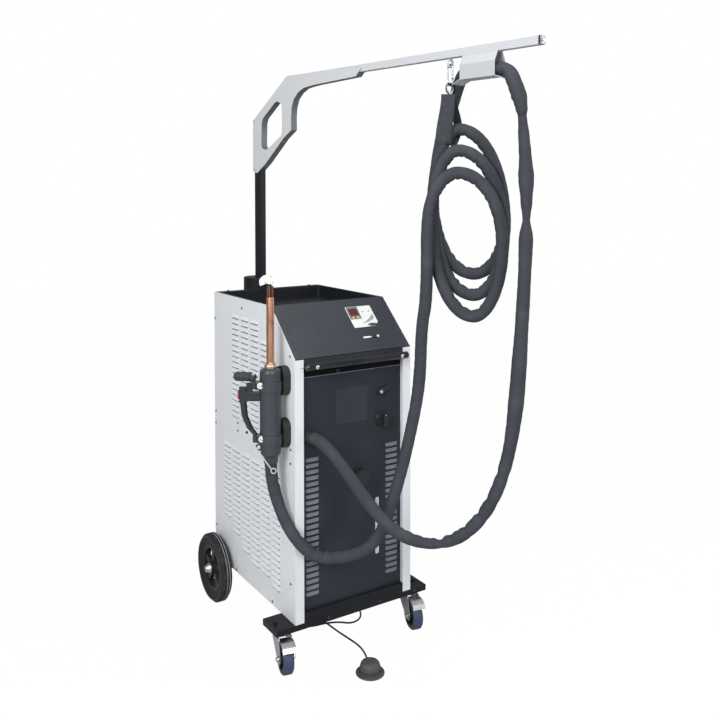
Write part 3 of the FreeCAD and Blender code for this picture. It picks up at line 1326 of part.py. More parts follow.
def side_grip():
    """The auxiliary grip, hinged on its pin at the upper clamp."""
    half = GRIP_EYE_TALL / 2
    eye = rod(GRIP_EYE, vec(0, 0, -half), vec(0, 0, half))
    neck = box(0, GRIP_START + OVERRUN, -LINK_HALF, LINK_HALF, -half + SHEET, half - SHEET)
    profile = [
        (0, 0), (GRIP_RADIUS - SHEET, 0), (GRIP_RADIUS, GRIP_EYE), (GRIP_RADIUS - SHEET, GRIP_LENGTH / 2),
        (GRIP_RADIUS, GRIP_LENGTH - GRIP_EYE), (GRIP_RADIUS / 2, GRIP_LENGTH), (0, GRIP_LENGTH),
    ]
    sleeve = revolved(profile, vec(GRIP_START, 0, 0), X_AXIS, Z_AXIS)
    sleeve = turned(sleeve, vec(GRIP_START, 0, 0), Y_AXIS, -GRIP_RISE)
    bore = rod(GRIP_PIN + RUNNING, vec(0, 0, -GRIP_EYE_TALL), vec(0, 0, GRIP_EYE_TALL))
    grip = fused(eye, neck, sleeve).cut(bore)
    grip = turned(grip, ZERO, Z_AXIS, -GRIP_TURN)
    return on_torch(moved(grip, GRIP_PIVOT_ALONG, 0, GRIP_PIVOT_Z))


HOLDER_HIGH = 940.0
HOLDER_LOW = 767.5
HOLDER_HALF = 32.0
HOLDER_TALL = 48.0
HOLDER_OUT = 26.0
ROUND_SHARE = 0.9


def torch_holders():
    seat = TORCH_RADIUS + CLAMP_THICK + FIT
    solids = []
    front = TORCH_Y - HOLDER_HALF
    rear = TORCH_Y + HOLDER_HALF
    for z in (HOLDER_HIGH, HOLDER_LOW):
        low = z - HOLDER_TALL
        high = z + HOLDER_TALL
        corners = [
            vec(-HALF, front, low), vec(-HALF, rear, low), vec(-HALF, rear, high), vec(-HALF, front, high),
        ]
        pad = prism(corners, X_AXIS * -HOLDER_OUT, [HOLDER_HALF * ROUND_SHARE] * len(corners))
        hollow = rod(seat, vec(TORCH_X, TORCH_Y, low - OVERRUN), vec(TORCH_X, TORCH_Y, high + OVERRUN))
        solids.append(pad.cut(hollow))
    return Part.makeCompound(solids)


# Pedal

PEDAL_X = -37.0
PEDAL_Y = -475.0
PEDAL_RADIUS = 47.0
PEDAL_BASE_TALL = 12.0
PEDAL_TOP = 42.0
PEDAL_DOME = 40.0
PEDAL_CROWN = 30.0
PEDAL_TRAVEL = 6.0
PEDAL_POST = 9.0
PEDAL_WALL = 3.0
DOME_SHARE = 0.67
RELIEF_LENGTH = 5.0
RELIEF_SHARE = 0.75


def pedal_base():
    centre = vec(PEDAL_X, PEDAL_Y, 0)
    profile = [
        (0, 0), (PEDAL_RADIUS, 0), (PEDAL_RADIUS, PEDAL_BASE_TALL / 2),
        (PEDAL_RADIUS - PEDAL_WALL, PEDAL_BASE_TALL),
        (PEDAL_POST, PEDAL_BASE_TALL), (PEDAL_POST, PEDAL_TOP / 2), (0, PEDAL_TOP / 2),
    ]
    base = revolved(profile, centre, Z_AXIS)
    start = vec(CABLE_ROUTE[0][0], CABLE_ROUTE[0][1], CABLE_ROUTE[0][2])
    following = vec(*CABLE_ROUTE[1])
    away = unit(following - start)
    relief = cone(CABLE_DIAMETER, CABLE_DIAMETER * RELIEF_SHARE, start - away * RELIEF_LENGTH, start)
    return fused(base, relief)


def pedal_dome():
    bottom = PEDAL_BASE_TALL + PEDAL_TRAVEL + FIT
    centre = vec(PEDAL_X, PEDAL_Y, bottom)
    height = PEDAL_TOP - bottom
    profile = [
        (PEDAL_POST + RUNNING, 0), (PEDAL_DOME, 0), (PEDAL_DOME - PEDAL_WALL, height * DOME_SHARE),
        (PEDAL_CROWN, height), (0, height), (0, height - PEDAL_WALL),
        (PEDAL_POST + RUNNING, height - PEDAL_WALL),
    ]
    return revolved(profile, centre, Z_AXIS)


# Cords

CORNER_SHARE = 0.45


def rounded_route(points):
    """Steps along a route of straight runs, each corner rounded as far as its two runs allow.

    A step is its end point and whether it bends; a bend leaves along the way it was reached.
    """
    steps = []
    radii = []
    for before, here, after in zip(points, points[1:], points[2:]):
        back = unit(before - here)
        ahead = unit(after - here)
        reach = CORNER_SHARE * min((before - here).Length, (after - here).Length)
        steps.append((here + back * reach, False))
        steps.append((here + ahead * reach, True))
        radii.append(round(reach * math.tan(back.getAngle(ahead) / 2)))
    steps.append((points[-1], False))
    print("  corner radii", radii)
    return steps


def swept(name, diameter, start, along, steps):
    """A round cord built face by face as its section is pushed along runs and turned round bends."""
    ring = Part.makeCircle(diameter / 2, start, along)
    faces = [Part.Face(Part.Wire(ring))]
    here = start
    length = 0
    for end, bends in steps:
        chord = end - here
        if bends:
            axis = unit(along.cross(chord))
            turn = 2 * along.getAngle(chord)
            radius = chord.Length / 2 / math.sin(turn / 2)
            centre = here + axis.cross(along) * radius
            faces.append(ring.revolve(centre, axis, math.degrees(turn)))
            ring = turned(ring, centre, axis, math.degrees(turn))
            along = FreeCAD.Rotation(axis, math.degrees(turn)).multVec(along)
            length += radius * turn
        else:
            faces.append(ring.extrude(chord))
            ring = moved(ring, *chord)
            length += chord.Length
        here = end
    faces.append(Part.Face(Part.Wire(ring)))
    shell = Part.makeShell([face for shape in faces for face in shape.Faces])
    shell.sewShape()
    cord = Part.Solid(shell)
    expected = length * math.pi * (diameter / 2) ** 2
    print(name, "length", round(length), "volume share", round(cord.Volume / expected, 4))
    return cord


def routed(name, route, diameter):
    points = [vec(*point) for point in route]
    return swept(name, diameter, points[0], unit(points[1] - points[0]), rounded_route(points))


FEED_ROUTE = (
    (-167, -341, 754), (-167, -375, 754), (-160, -413, 740), (-143, -450, 708), (-115, -488, 650),
    (-72, -528, 570), (-20, -570, 497), (35, -612, 452), (98, -664, 438), (155, -722, 472),
    (198, -775, 545), (226, -822, 660), (245, -855, 850), (255, -869, 1120), (264, -881, 1390),
    (264, -880, 1610), (254, -866, 1760),
)
FEED_ON_ARM = ((1300, 0, 1840), (1287, 0, 1899), (1250, 0, 1931), (1215, 0, 1931))
COIL_ON_ARM = (
    (1215, 0, 1931), (1148, 0, 1931), (1080, -1.5, 1931), (1046, 24, 1925), (1008, 46, 1890), (984, 51, 1835),
)
DROP_ROUTE = (
    (110, -570, 1130), (122, -545, 930), (104, -505, 750), (74, -476, 600), (38, -452, 466),
    (12, -438, 410), (-28, -418, 374), (-76, -401, 365), (-96, -395.2, 365),
)
TAIL_ROUTE = (
    (-96, -395.2, 365), (-149, -379.83, 365), (-199, -368, 392), (-242, -353, 440), (-264, -316, 496),
    (-277, -284, 562), (-289, -270, 636), (-289, -270, 676),
)
CABLE_ROUTE = (
    (-15.6, -432.7, 12), (-7, -412, 4), (8, -378, 3.1), (19, -325, 3.1), (11, -255, 3.1), (3, -190, 3.1),
    (0, -125, 3.1), (-24, -66, 3.1), (-72, -56, 3.1), (-94, -98, 3.1), (-62, -134, 8), (-20, -152, 16),
    (28, -171, 16), (74, -187, 4), (124, -172, 3.1), (148, -126, 10), (138, -84, 52), (132, -72, 101),
    (132, -72, 125),
)

# The hanging coil faces the way the photograph looks: its middle, and its width and depth axes
COIL_MIDDLE = (228, -648)
COIL_WIDE = (0.763, -0.646)
COIL_NEAR = (-0.646, -0.763)
COIL_ENTRY = (-90, -77, 1760)
COIL_LEFT = ((-120, -66, 1540), (-118, -22, 1500), (-120, 22, 1470), (-130, 66, 1450))
COIL_BOTTOM = ((12, -55, 1287), (12, -11, 1223), (12, 33, 1160))
COIL_RIGHT = ((117, -44, 1455), (112, 0, 1425), (106, 44, 1395))
COIL_TOP = ((-32, -33, 1765), (-32, 11, 1694), (-32, 55, 1621))
COIL_END = 1390
DROP_START = (-130, 66, 1225)


def coil_point(wide, near, height):
    x = COIL_MIDDLE[0] + wide * COIL_WIDE[0] + near * COIL_NEAR[0]
    y = COIL_MIDDLE[1] + wide * COIL_WIDE[1] + near * COIL_NEAR[1]
    return vec(x, y, height)


def coil_stations():
    """The coil's quarter points in order, each with the direction of the hose there."""
    wide = unit(vec(COIL_WIDE[0], COIL_WIDE[1], 0))
    stations = [(coil_point(*COIL_LEFT[0]), -Z_AXIS)]
    for turn in range(len(COIL_TOP)):
        stations.append((coil_point(*COIL_BOTTOM[turn]), wide))
        stations.append((coil_point(*COIL_RIGHT[turn]), Z_AXIS))
        stations.append((coil_point(*COIL_TOP[turn]), -wide))
        stations.append((coil_point(*COIL_LEFT[turn + 1]), -Z_AXIS))
    return stations


def biarc(start, along, end, leaving):
    """Two bends that join two points, each with its own direction, and meet smoothly."""
    chord = end - start
    both = along + leaving
    a = 2 * (along.dot(leaving) - 1)
    b = chord.dot(both)
    c = chord.dot(chord)
    reach = (b - math.sqrt(b * b - a * c)) / a
    joint = (start + along * reach + end - leaving * reach) / 2
    return [(joint, True), (end, True)]


def hose_coil():
    route = [arm_point(*point) for point in COIL_ON_ARM]
    here = coil_point(*COIL_ENTRY)
    route.append(here)
    steps = rounded_route(route)
    along = unit(here - route[-2])
    for point, direction in coil_stations():
        steps += biarc(here, along, point, direction)
        here = point
        along = direction
    steps.append((coil_point(COIL_LEFT[-1][0], COIL_LEFT[-1][1], COIL_END), False))
    start = route[0]
    along = unit(route[1] - start)
    tube = swept("hose_coil", HOSE_DIAMETER, start, along, steps)
    print("  least gap between turns", round(least_gap(start, along, steps), 2))
    return tube


GAP_STEP = 8.0


def least_gap(start, along, steps):
    """The hose's least gap to itself, between places over half a turn of it apart."""
    samples = []
    here = start
    travelled = 0
    for end, bends in steps:
        chord = end - here
        turn = 2 * along.getAngle(chord) if bends else 0
        length = chord.Length / 2 / math.sin(turn / 2) * turn if bends else chord.Length
        count = max(1, int(length / GAP_STEP))
        across = along.cross(chord)
        for index in range(count):
            share = index / count
            if bends:
                swing = FreeCAD.Rotation(across, math.degrees(turn * share / 2)).multVec(along)
                point = here + swing * (chord.Length * math.sin(turn * share / 2) / math.sin(turn / 2))
            else:
                point = here + chord * share
            samples.append((travelled + length * share, point))
        if bends:
            along = FreeCAD.Rotation(across, math.degrees(turn)).multVec(along)
        travelled += length
        here = end
    least = travelled
    for index, (place, point) in enumerate(samples):
        for other_place, other in samples[index + 1:]:
            if other_place - place > HOSE_DIAMETER * math.pi:
                least = min(least, (other - point).Length)
    return least - HOSE_DIAMETER


def hose_feed():
    route = list(FEED_ROUTE) + [tuple(arm_point(*point)) for point in FEED_ON_ARM]
    return routed("hose_feed", route, HOSE_DIAMETER)


def hose_drop():
    start = tuple(coil_point(COIL_LEFT[-1][0], COIL_LEFT[-1][1], COIL_END))
    following = tuple(coil_point(*DROP_START))
    return routed("hose_drop", [start, following] + list(DROP_ROUTE), HOSE_DIAMETER)


SLING_THICK = 3.0
SLING_CLEAR = 3.0
SLING_WIDE = 38.0
SLING_TOP = 1868.0
SLING_TOP_NEAR = 9.0
SLING_AT = -29.0
SLING_TOP_AT = -57.0
SLING_MIDDLE = 3.0


def sling():
    """A webbing loop: two branches from the rings and the bend under the top turn."""
    top = coil_point(*COIL_TOP[0])
    radius = HOSE_DIAMETER / 2 + SLING_CLEAR
    near = COIL_TOP[0][1]
    half = SLING_WIDE / 2
    wide = vec(COIL_WIDE[0], COIL_WIDE[1], 0)
    start = coil_point(SLING_AT - half, near, top.z)
    bend = pipe(radius + SLING_THICK, radius, start, start + wide * SLING_WIDE)
    above = moved(box(-HALF, HALF, -HALF, HALF, 0, HALF), top.x, top.y, top.z)
    bend = bend.cut(above)
    branches = []
    for side in (-1, 1):
        inner = near + side * radius
        outer = near + side * (radius + SLING_THICK)
        upper = SLING_MIDDLE + side * SLING_TOP_NEAR
        upper_outer = upper + side * SLING_THICK
        ends = []
        for middle, near_face, far_face, z in (
            (SLING_AT, inner, outer, top.z),
            (SLING_TOP_AT, upper, upper_outer, SLING_TOP),
        ):
            left = middle - half
            right = middle + half
            ends.append(wire_of([
                coil_point(left, near_face, z), coil_point(right, near_face, z),
                coil_point(right, far_face, z), coil_point(left, far_face, z),
            ]))
        branches.append(Part.makeLoft(ends, True, True))
    return fused(bend, *branches)


# Bolts and glands

BOLT_HEAD = 7.5
BOLT_HEAD_THICK = 5.3
BOLT_INSET = 14.0
BOLT_SIDES = 6
BOLT_APART = 22.0


def bolt_head(centre, along):
    """A hexagon head, standing on centre."""
    side = unit(along.cross(X_AXIS))
    corners = []
    for number in range(BOLT_SIDES):
        corners.append(centre + FreeCAD.Rotation(along, number * FULL / BOLT_SIDES).multVec(side) * BOLT_HEAD)
    return prism(corners, unit(along) * BOLT_HEAD_THICK)


def bracket_bolts():
    heads = []
    for side in (-1, 1):
        for z in (BRACKET_LOW, BRACKET_HIGH):
            place = vec(side * (BRACKET_PLATE_HALF - BOLT_INSET), REAR_PANEL_FACE + BRACKET_PLATE,
                        z + BRACKET_TALL / 2)
            heads.append(bolt_head(place, Y_AXIS))
        for x in (-BOLT_APART, BOLT_APART):
            place = vec(side * CASTOR_SIDE + x, CASTOR_Y, CABINET_BOTTOM)
            if abs(place.x) > HALF + BOLT_HEAD:
                heads.append(bolt_head(place, Z_AXIS))
    return Part.makeCompound(heads)


CABLE_GLAND_RADIUS = 9.0
MAINS_GLAND_RADIUS = 14.0
MAINS_GLAND_LENGTH = 24.0
MAINS_GLAND_X = -150.0
MAINS_GLAND_Z = 220.0
MAINS_BORE = 6.0


def cable_glands():
    end = vec(*CABLE_ROUTE[-1])
    seat = vec(end.x, end.y, CABINET_BOTTOM)
    pedal_gland = rod(CABLE_GLAND_RADIUS, end, seat)
    start = vec(MAINS_GLAND_X, REAR_PANEL_FACE, MAINS_GLAND_Z)
    out = start + Y_AXIS * MAINS_GLAND_LENGTH
    mains = cone(MAINS_GLAND_RADIUS, MAINS_BORE + SHEET + SHEET, start, out)
    bore = rod(MAINS_BORE, start + Y_AXIS * SHEET, out + Y_AXIS * OVERRUN)
    return Part.makeCompound([pedal_gland, mains.cut(bore)])


def main():
    os.makedirs("parts", exist_ok=True)
    write("left_side_panel", side_panel(-1))
    write("right_side_panel", side_panel(1))
    write("front_panel", front_panel())
    write("control_panel", control_panel())
    write("top_tray", top_tray())
    write("rear_panel", rear_panel())
    write("base_plate", base_plate())
    write("front_beam", front_beam())
    write("rear_axle", rear_axle())
    write("push_bar", push_bar())
    write("keypad", keypad())
    write("display_window", display_window())
    write("main_switch_base", main_switch_base())
    write("main_switch_knob", main_switch_knob())
    write("hose_gland", hose_gland())
    write("coolant_tank", coolant_tank())
    write("level_window", level_window())
    write("tank_cap", tank_cap())
    write("coolant_pump", coolant_pump())
    write("radiator", radiator())
    write("fan_rotor", fan_rotor())
    write("inverter_module", inverter_module())
    write("transformer", transformer())
    write("latch_lever", latch_lever())
    write("mast_socket", mast_socket())
    write("torch_holders", torch_holders())
    write("bracket_bolts", bracket_bolts())
    write("cable_glands", cable_glands())
    write("pedal_base", pedal_base())
    write("pedal_dome", pedal_dome())
    for name, side in (("left", -1), ("right", 1)):
        write("castor_fork_" + name, castor_frame(castor_fork(), side))
        write("castor_wheel_" + name, castor_frame(castor_wheel(), side))
        write("castor_brake_" + name, castor_frame(castor_brake(), side))
        write("rear_rim_" + name, rear_rim(side))
        write("rear_tyre_" + name, rear_tyre(side))
    write("mast", mast())
    write("head_bracket", head_bracket())
    write("arm_tube", arm_tube())
    write("arm_end_cap", arm_end_cap())
    write("hose_saddle", hose_saddle())
    write("carabiner", carabiner())
    write("carabiner_gate", carabiner_gate())
    write("sling", sling())
    write("torch_housing", torch_housing())
    write("torch_barrel", torch_barrel())
    write("inductor", inductor())
    write("torch_clamps", torch_clamps())
    write("torch_handle", torch_handle())
    write("torch_button", torch_button())
    write("side_grip", side_grip())
    write("hose_feed", hose_feed())
    write("hose_coil", hose_coil())
    write("hose_drop", hose_drop())
    write("hose_tail", routed("hose_tail", TAIL_ROUTE, HOSE_DIAMETER))
    write("pedal_cable", routed("pedal_cable", CABLE_ROUTE, CABLE_DIAMETER))


main()
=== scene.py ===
import math
import random

import bmesh
import bpy
from mathutils import Matrix, Vector


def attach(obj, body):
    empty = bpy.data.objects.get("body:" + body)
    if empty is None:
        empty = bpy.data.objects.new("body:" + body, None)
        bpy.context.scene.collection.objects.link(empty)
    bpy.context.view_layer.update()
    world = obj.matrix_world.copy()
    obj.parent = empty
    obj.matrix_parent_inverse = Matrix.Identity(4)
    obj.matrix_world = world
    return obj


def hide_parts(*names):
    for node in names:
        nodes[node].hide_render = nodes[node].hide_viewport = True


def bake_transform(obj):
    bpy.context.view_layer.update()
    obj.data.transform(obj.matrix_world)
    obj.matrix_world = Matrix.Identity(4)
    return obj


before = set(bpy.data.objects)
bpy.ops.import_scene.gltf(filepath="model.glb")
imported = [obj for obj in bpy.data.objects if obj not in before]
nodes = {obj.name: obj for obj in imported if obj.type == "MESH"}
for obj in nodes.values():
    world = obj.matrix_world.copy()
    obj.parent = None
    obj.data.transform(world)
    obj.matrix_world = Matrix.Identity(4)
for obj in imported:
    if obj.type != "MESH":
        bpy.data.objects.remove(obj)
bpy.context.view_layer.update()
LOUVRE_PITCH = 0.0203
MAST_AT = (0, 0.394, 0)
ARM_AHEAD = (0.1805, -0.9836, 0)
ARM_SIDE = (0.9836, 0.1805, 0)
WHEEL_Y = 0.257
WHEEL_Z = 0.125
X_AXIS = Vector((1, 0, 0))
Z_AXIS = Vector((0, 0, 1))


# Finishes


class Link:
    """A socket that sums can be written with; each sum adds its own Math node."""

    def __init__(self, finish, socket):
        self.finish = finish
        self.socket = socket

    def maths(self, operation, *values):
        return self.finish.node("Math", {"operation": operation}, dict(enumerate(values)))

    def __add__(self, other):
        return self.maths("ADD", self, other)

    def __sub__(self, other):
        return self.maths("SUBTRACT", self, other)

    def __mul__(self, other):
        return self.maths("MULTIPLY", self, other)

    def __abs__(self):
        return self.maths("ABSOLUTE", self)

    def wave(self, length):
        """A sine of this value that repeats every length."""
        return self.maths("SINE", self * (2 * math.pi / length))


class Finish:
    """A material on the Principled shader, with the nodes that vary it."""

    def __init__(self, name, colour, rough, metal=0.0, **constants):
        self.material = bpy.data.materials.new(name)
        self.material.use_nodes = True
        self.tree = self.material.node_tree
        self.shader = self.tree.nodes["Principled BSDF"]
        self.colour = (*colour, 1)
        self.material.diffuse_color = self.colour
        self.feed(self.shader.inputs["Base Color"], self.colour)
        self.feed(self.shader.inputs["Roughness"], rough)
        self.feed(self.shader.inputs["Metallic"], metal)
        for socket, value in constants.items():
            self.feed(self.shader.inputs[socket.replace("_", " ")], value)
        self.place = self.node("TexCoord", output="Object")

    def node(self, kind, settings=None, values=None, output=0):
        made = self.tree.nodes.new("ShaderNode" + kind)
        for name, value in (settings or {}).items():
            setattr(made, name, value)
        for socket, value in (values or {}).items():
            self.feed(made.inputs[socket], value)
        return Link(self, made.outputs[output])

    def feed(self, socket, value):
        if isinstance(value, Link):
            self.tree.links.new(value.socket, socket)
        else:
            socket.default_value = value

    def vector(self, operation, first, second, output=0):
        return self.node("VectorMath", {"operation": operation}, {0: first, 1: second}, output)

    def along(self, axis, place=None):
        return self.node("SeparateXYZ", None, {0: place or self.place}, axis)

    def uv(self, axis):
        return self.along(axis, self.node("UVMap", {"uv_map": "Along"}))

    def noise(self, scale, detail=3.0, stretch=(1, 1, 1), rough=0.5):
        at = self.vector("MULTIPLY", self.place, stretch)
        return self.node("TexNoise", None, {"Vector": at, "Scale": scale, "Detail": detail, "Roughness": rough})

    def between(self, value, low, high, start=0.0, end=1.0):
        return self.node("MapRange", None, {0: value, 1: low, 2: high, 3: start, 4: end})

    def patches(self, scale, detail, low, high, stretch=(1, 1, 1)):
        """Noise from none at low to full at high."""
        return self.between(self.noise(scale, detail, stretch), low, high)

    def mixed(self, share, first, second):
        return self.node("Mix", {"data_type": "RGBA"}, {0: share, 6: first, 7: second}, 2)

    def faded(self, share, change):
        """The own colour, with a share of itself made lighter or darker."""
        return self.mixed(share, self.colour, tint(self.colour, change))

    def paint(self, colour=None, rough=None, metal=None, coat=None):
        for name, value in (("Base Color", colour), ("Roughness", rough), ("Metallic", metal), ("Coat Weight", coat)):
            if value is not None:
                self.feed(self.shader.inputs[name], value)

    def relief(self, height, depth, edge=0.0):
        """Bumps of this depth in metres, over edges rounded by edge."""
        values = {"Height": height, "Strength": 1.0, "Distance": depth}
        if edge:
            values["Normal"] = self.node("Bevel", {"samples": 4}, {"Radius": edge})
        self.feed(self.shader.inputs["Normal"], self.node("Bump", None, values))


def tint(colour, share):
    """The colour made lighter, or darker where share is below one."""
    return tuple(min(1.0, part * share) for part in colour[:3]) + (1,)


def powder_coat(name, colour, rough, dust=0.06, shine=0.5, edge=0.0009, depth=0.00012):
    """Baked powder paint: a fine orange peel, faint handling marks and a dull bloom where dust gathers."""
    made = Finish(name, colour, rough, Specular_IOR_Level=shine)
    peel = made.noise(900.0, 2.0)
    smears = made.patches(7.0, 4.0, 0.42, 0.68, (1, 1, 0.45))
    specks = made.patches(260.0, 1.0, 0.7, 0.76)
    grime = made.between(made.along(2), 0.1, 0.42, 1.0, 0.0) * made.patches(22.0, 5.0, 0.35, 0.75)
    shade = made.mixed(specks * 0.35, made.faded(smears * dust, 0.72), tint(made.colour, 0.8))
    shade = made.mixed(grime * (dust * 2), shade, (0.16, 0.15, 0.14, 1))
    made.paint(shade, made.between(smears + peel * 0.4, 0.0, 1.4, rough - 0.06, rough + 0.12))
    made.relief(peel + specks * 0.4, depth, edge)
    return made


def front_paint():
    """Dark paint with a painted highlight on its pressed louvre hoods: a paler blue-grey where their outer faces catch
    the light.
    """
    made = powder_coat("front_coat", (0.024, 0.028, 0.037), 0.34, 0.0, 0.16, 0.0018)
    side = abs(made.along(0))
    column = made.between(side, 0.1335, 0.1345) * made.between(side, 0.1845, 0.1835)
    height = made.along(2)
    steps = (height - 0.2224) * (1 / LOUVRE_PITCH)
    rise = steps.maths("FRACT", steps)
    rows = made.between(rise, 0.56, 0.62, 1.0, 0.0) * made.between(rise, 0.0, 0.05) * made.between(height, 0.221, 0.222)
    hoods = column * rows * made.between(height, 0.682, 0.681) * made.between(made.along(1), -0.3132, -0.3134)
    # Painted highlight on the outer faces of the hoods, made uneven by noise.
    hood_highlight_spread = made.between(made.noise(60.0), 0.3, 0.7, 0.75, 1.0)
    made.paint(made.mixed(hoods * hood_highlight_spread, made.colour, (0.15, 0.17, 0.205, 1)))
    return made


def bracket_paint():
    """The arm's pale paint on the two cheeks, and a dark grey on the edge faces between them."""
    made = Finish("bracket_paint", (0.48, 0.495, 0.515), 0.34)
    facing = made.node("TexCoord", output="Normal")
    across = abs(made.vector("DOT_PRODUCT", facing, ARM_SIDE, "Value"))
    peel = made.noise(500.0)
    cheek = across.maths("GREATER_THAN", across, 0.6)
    shade = made.mixed(cheek, (0.085, 0.095, 0.105, 1), made.faded(peel * 0.15, 0.85))
    made.paint(shade, made.between(peel, 0.3, 0.7, 0.3, 0.42))
    made.relief(peel, 0.0001)
    return made


def moulded(name, colour, rough, grain=700.0, depth=0.00018, edge=0.0008):
    """Moulded plastic or rubber with a fine spark-eroded grain and lighter rubbed places."""
    made = Finish(name, colour, rough)
    grit = made.noise(grain)
    rubbed = made.patches(34.0, 4.0, 0.5, 0.72)
    rough_now = made.between(grit + rubbed * 0.5, 0.2, 1.2, rough + 0.1, rough - 0.08)
    made.paint(made.faded(rubbed * 0.1, 1.9), rough_now)
    made.relief(grit, depth, edge)
    return made


def plated(name, colour, rough):
    """Plated or bare metal with a fine drawn grain, dull patches and tiny scratches."""
    made = Finish(name, colour, rough, 1.0)
    drawn = made.noise(60.0, 3.0, (1, 1, 26))
    dull = made.patches(40.0, 4.0, 0.4, 0.7)
    made.paint(made.faded(dull * 0.4, 0.62), made.between(dull + drawn * 0.6, 0.1, 1.4, rough - 0.08, rough + 0.2))
    made.relief(drawn, 0.00006, 0.0005)
    return made


def sleeve_cloth():
    """Dense woven protective sleeve: a twill of fine ribs, puckers along the tube and pale lint."""
    made = Finish("sleeve", (0.04, 0.045, 0.054), 0.78, Specular_IOR_Level=0.22)
    warp = made.uv(0)
    weft = made.uv(1)
    twill = (warp + weft).wave(0.0026) * (warp - weft).wave(0.0026)
    folds = made.noise(30.0, 5.0, rough=0.6)
    hood_highlight_spread = made.patches(11.0, 5.0, 0.45, 0.7)
    lint = made.patches(420.0, 1.0, 0.66, 0.74)
    shade = made.mixed(lint * 0.25, made.faded(hood_highlight_spread * 0.5, 1.5), tint(made.colour, 3.0))
    made.paint(shade, made.between(hood_highlight_spread, 0.0, 1.0, 0.84, 0.66))
    made.relief(twill * 0.16 + made.noise(120.0, 4.0) * 0.9 + folds * 3.2, 0.0007)
    return made


def strap_web():
    """Flat woven webbing with cross ribs and cords along it."""
    made = Finish("webbing", (0.034, 0.038, 0.044), 0.7, Specular_IOR_Level=0.3)
    made.paint(made.faded(made.patches(60.0, 4.0, 0.4, 0.7) * 0.4, 1.7))
    made.relief(made.uv(0).wave(0.0024) * 0.6 + made.uv(1).wave(0.0031) * 0.5 + made.noise(500.0) * 0.8, 0.0003)
    return made


def drawn_copper():
    """Copper pipe: heat tints towards the tip, bright drawn lines, and the brass collar at its foot."""
    made = Finish("drawn_copper", (0.66, 0.36, 0.25), 0.26, 1.0)
    height = made.along(2)
    blotch = made.noise(38.0, 5.0, (1, 1, 0.5))
    collar = made.between(height, 1.0005, 1.0015, 1.0, 0.0)
    heat = made.between(height, 1.12, 1.23) * made.between(blotch, 0.35, 0.65)
    shade = made.mixed(made.between(blotch, 0.35, 0.7) * 0.45, made.colour, (0.5, 0.2, 0.11, 1))
    shade = made.mixed(heat * 0.6, shade, (0.3, 0.13, 0.1, 1))
    shade = made.mixed(collar, shade, (0.78, 0.56, 0.34, 1))
    made.paint(shade, made.between(blotch, 0.3, 0.7, 0.24, 0.44))
    made.relief(made.noise(90.0, 3.0, (1, 1, 30)) + blotch * 0.5, 0.0001, 0.0006)
    return made


def arm_cap():
    """The arm's end: pale paint, a thin black seal round the mouth and a bare metal face."""
    made = Finish("arm_cap", (0.47, 0.485, 0.505), 0.34)
    away = made.vector("SUBTRACT", made.place, MAST_AT)
    reach = made.vector("DOT_PRODUCT", away, ARM_AHEAD, "Value")
    seal = made.between(reach, 1.3604, 1.3606)
    face = made.between(reach, 1.3672, 1.3674)
    peel = made.noise(500.0)
    shade = made.mixed(seal, made.faded(peel * 0.2, 0.8), (0.012, 0.012, 0.013, 1))
    made.paint(made.mixed(face, shade, (0.3, 0.31, 0.33, 1)), made.between(peel, 0.3, 0.7, 0.34, 0.46), face)
    made.relief(peel, 0.0001, 0.0008)
    return made


def work_coil():
    """Copper leads below, and above them the chalky white ceramic sleeve of the loop."""
    made = Finish("work_coil", (0.42, 0.2, 0.13), 0.4)
    ceramic = made.between(made.along(2), 1.244, 1.249)
    chalk = made.mixed(made.patches(70.0, 4.0, 0.5, 0.75) * 0.35, (0.8, 0.8, 0.8, 1), (0.42, 0.38, 0.36, 1))
    shade = made.mixed(ceramic, made.colour, chalk)
    made.paint(shade, made.between(ceramic, 0, 1, 0.36, 0.85), made.between(ceramic, 0, 1, 1, 0))
    made.relief(made.noise(300.0, 4.0), 0.0006)
    return made


def wheel_rubber():
    """Black tyre rubber: rings moulded in the side wall, pale lines on the shoulder, dusty running face."""
    made = Finish("wheel_rubber", (0.013, 0.014, 0.017), 0.62, Specular_IOR_Level=0.2)
    from_axle = made.vector("MULTIPLY", made.vector("SUBTRACT", made.place, (0, WHEEL_Y, WHEEL_Z)), (0.0, 1.0, 1.0))
    radius = made.node("VectorMath", {"operation": "LENGTH"}, {0: from_axle}, "Value")
    rings = made.between(radius, 0.086, 0.112) * made.between(radius, 0.12, 0.112) * radius.wave(0.0065)
    line = made.between(radius, 0.1125, 0.1135) * made.between(radius, 0.1165, 0.1155)
    dust = made.patches(45.0, 5.0, 0.35, 0.7) * made.between(radius, 0.115, 0.124)
    off = abs(abs(made.along(0)) - 0.2615)
    stripes = made.between(off, 0.004, 0.0044) * made.between(off, 0.0056, 0.0052) * made.between(radius, 0.121, 0.1225)
    shade = made.mixed(dust * 0.5, made.colour, (0.06, 0.06, 0.06, 1))
    shade = made.mixed(line * 0.35, shade, (0.2, 0.21, 0.22, 1))
    shade = made.mixed(stripes * 0.8, shade, (0.62, 0.62, 0.62, 1))
    made.paint(shade, made.between(dust, 0, 1, 0.5, 0.8))
    made.relief(rings * 0.7 + made.noise(600.0) * 0.3, 0.0008)
    return made


def tinted_glass(name, colour):
    made = Finish(name, colour, 0.12, Coat_Roughness=0.05)
    rough = made.between(made.noise(90.0, 4.0), 0.4, 0.8, 0.08, 0.22)
    coat = made.between(made.noise(30.0), 0, 1, 0.6, 0.9)
    made.paint(made.faded(made.patches(60.0, 3.0, 0.4, 0.7) * 0.4, 1.8), rough, None, coat)
    made.relief(made.noise(25.0), 0.00005)
    return made


# Each finish by name, with the values that its function takes

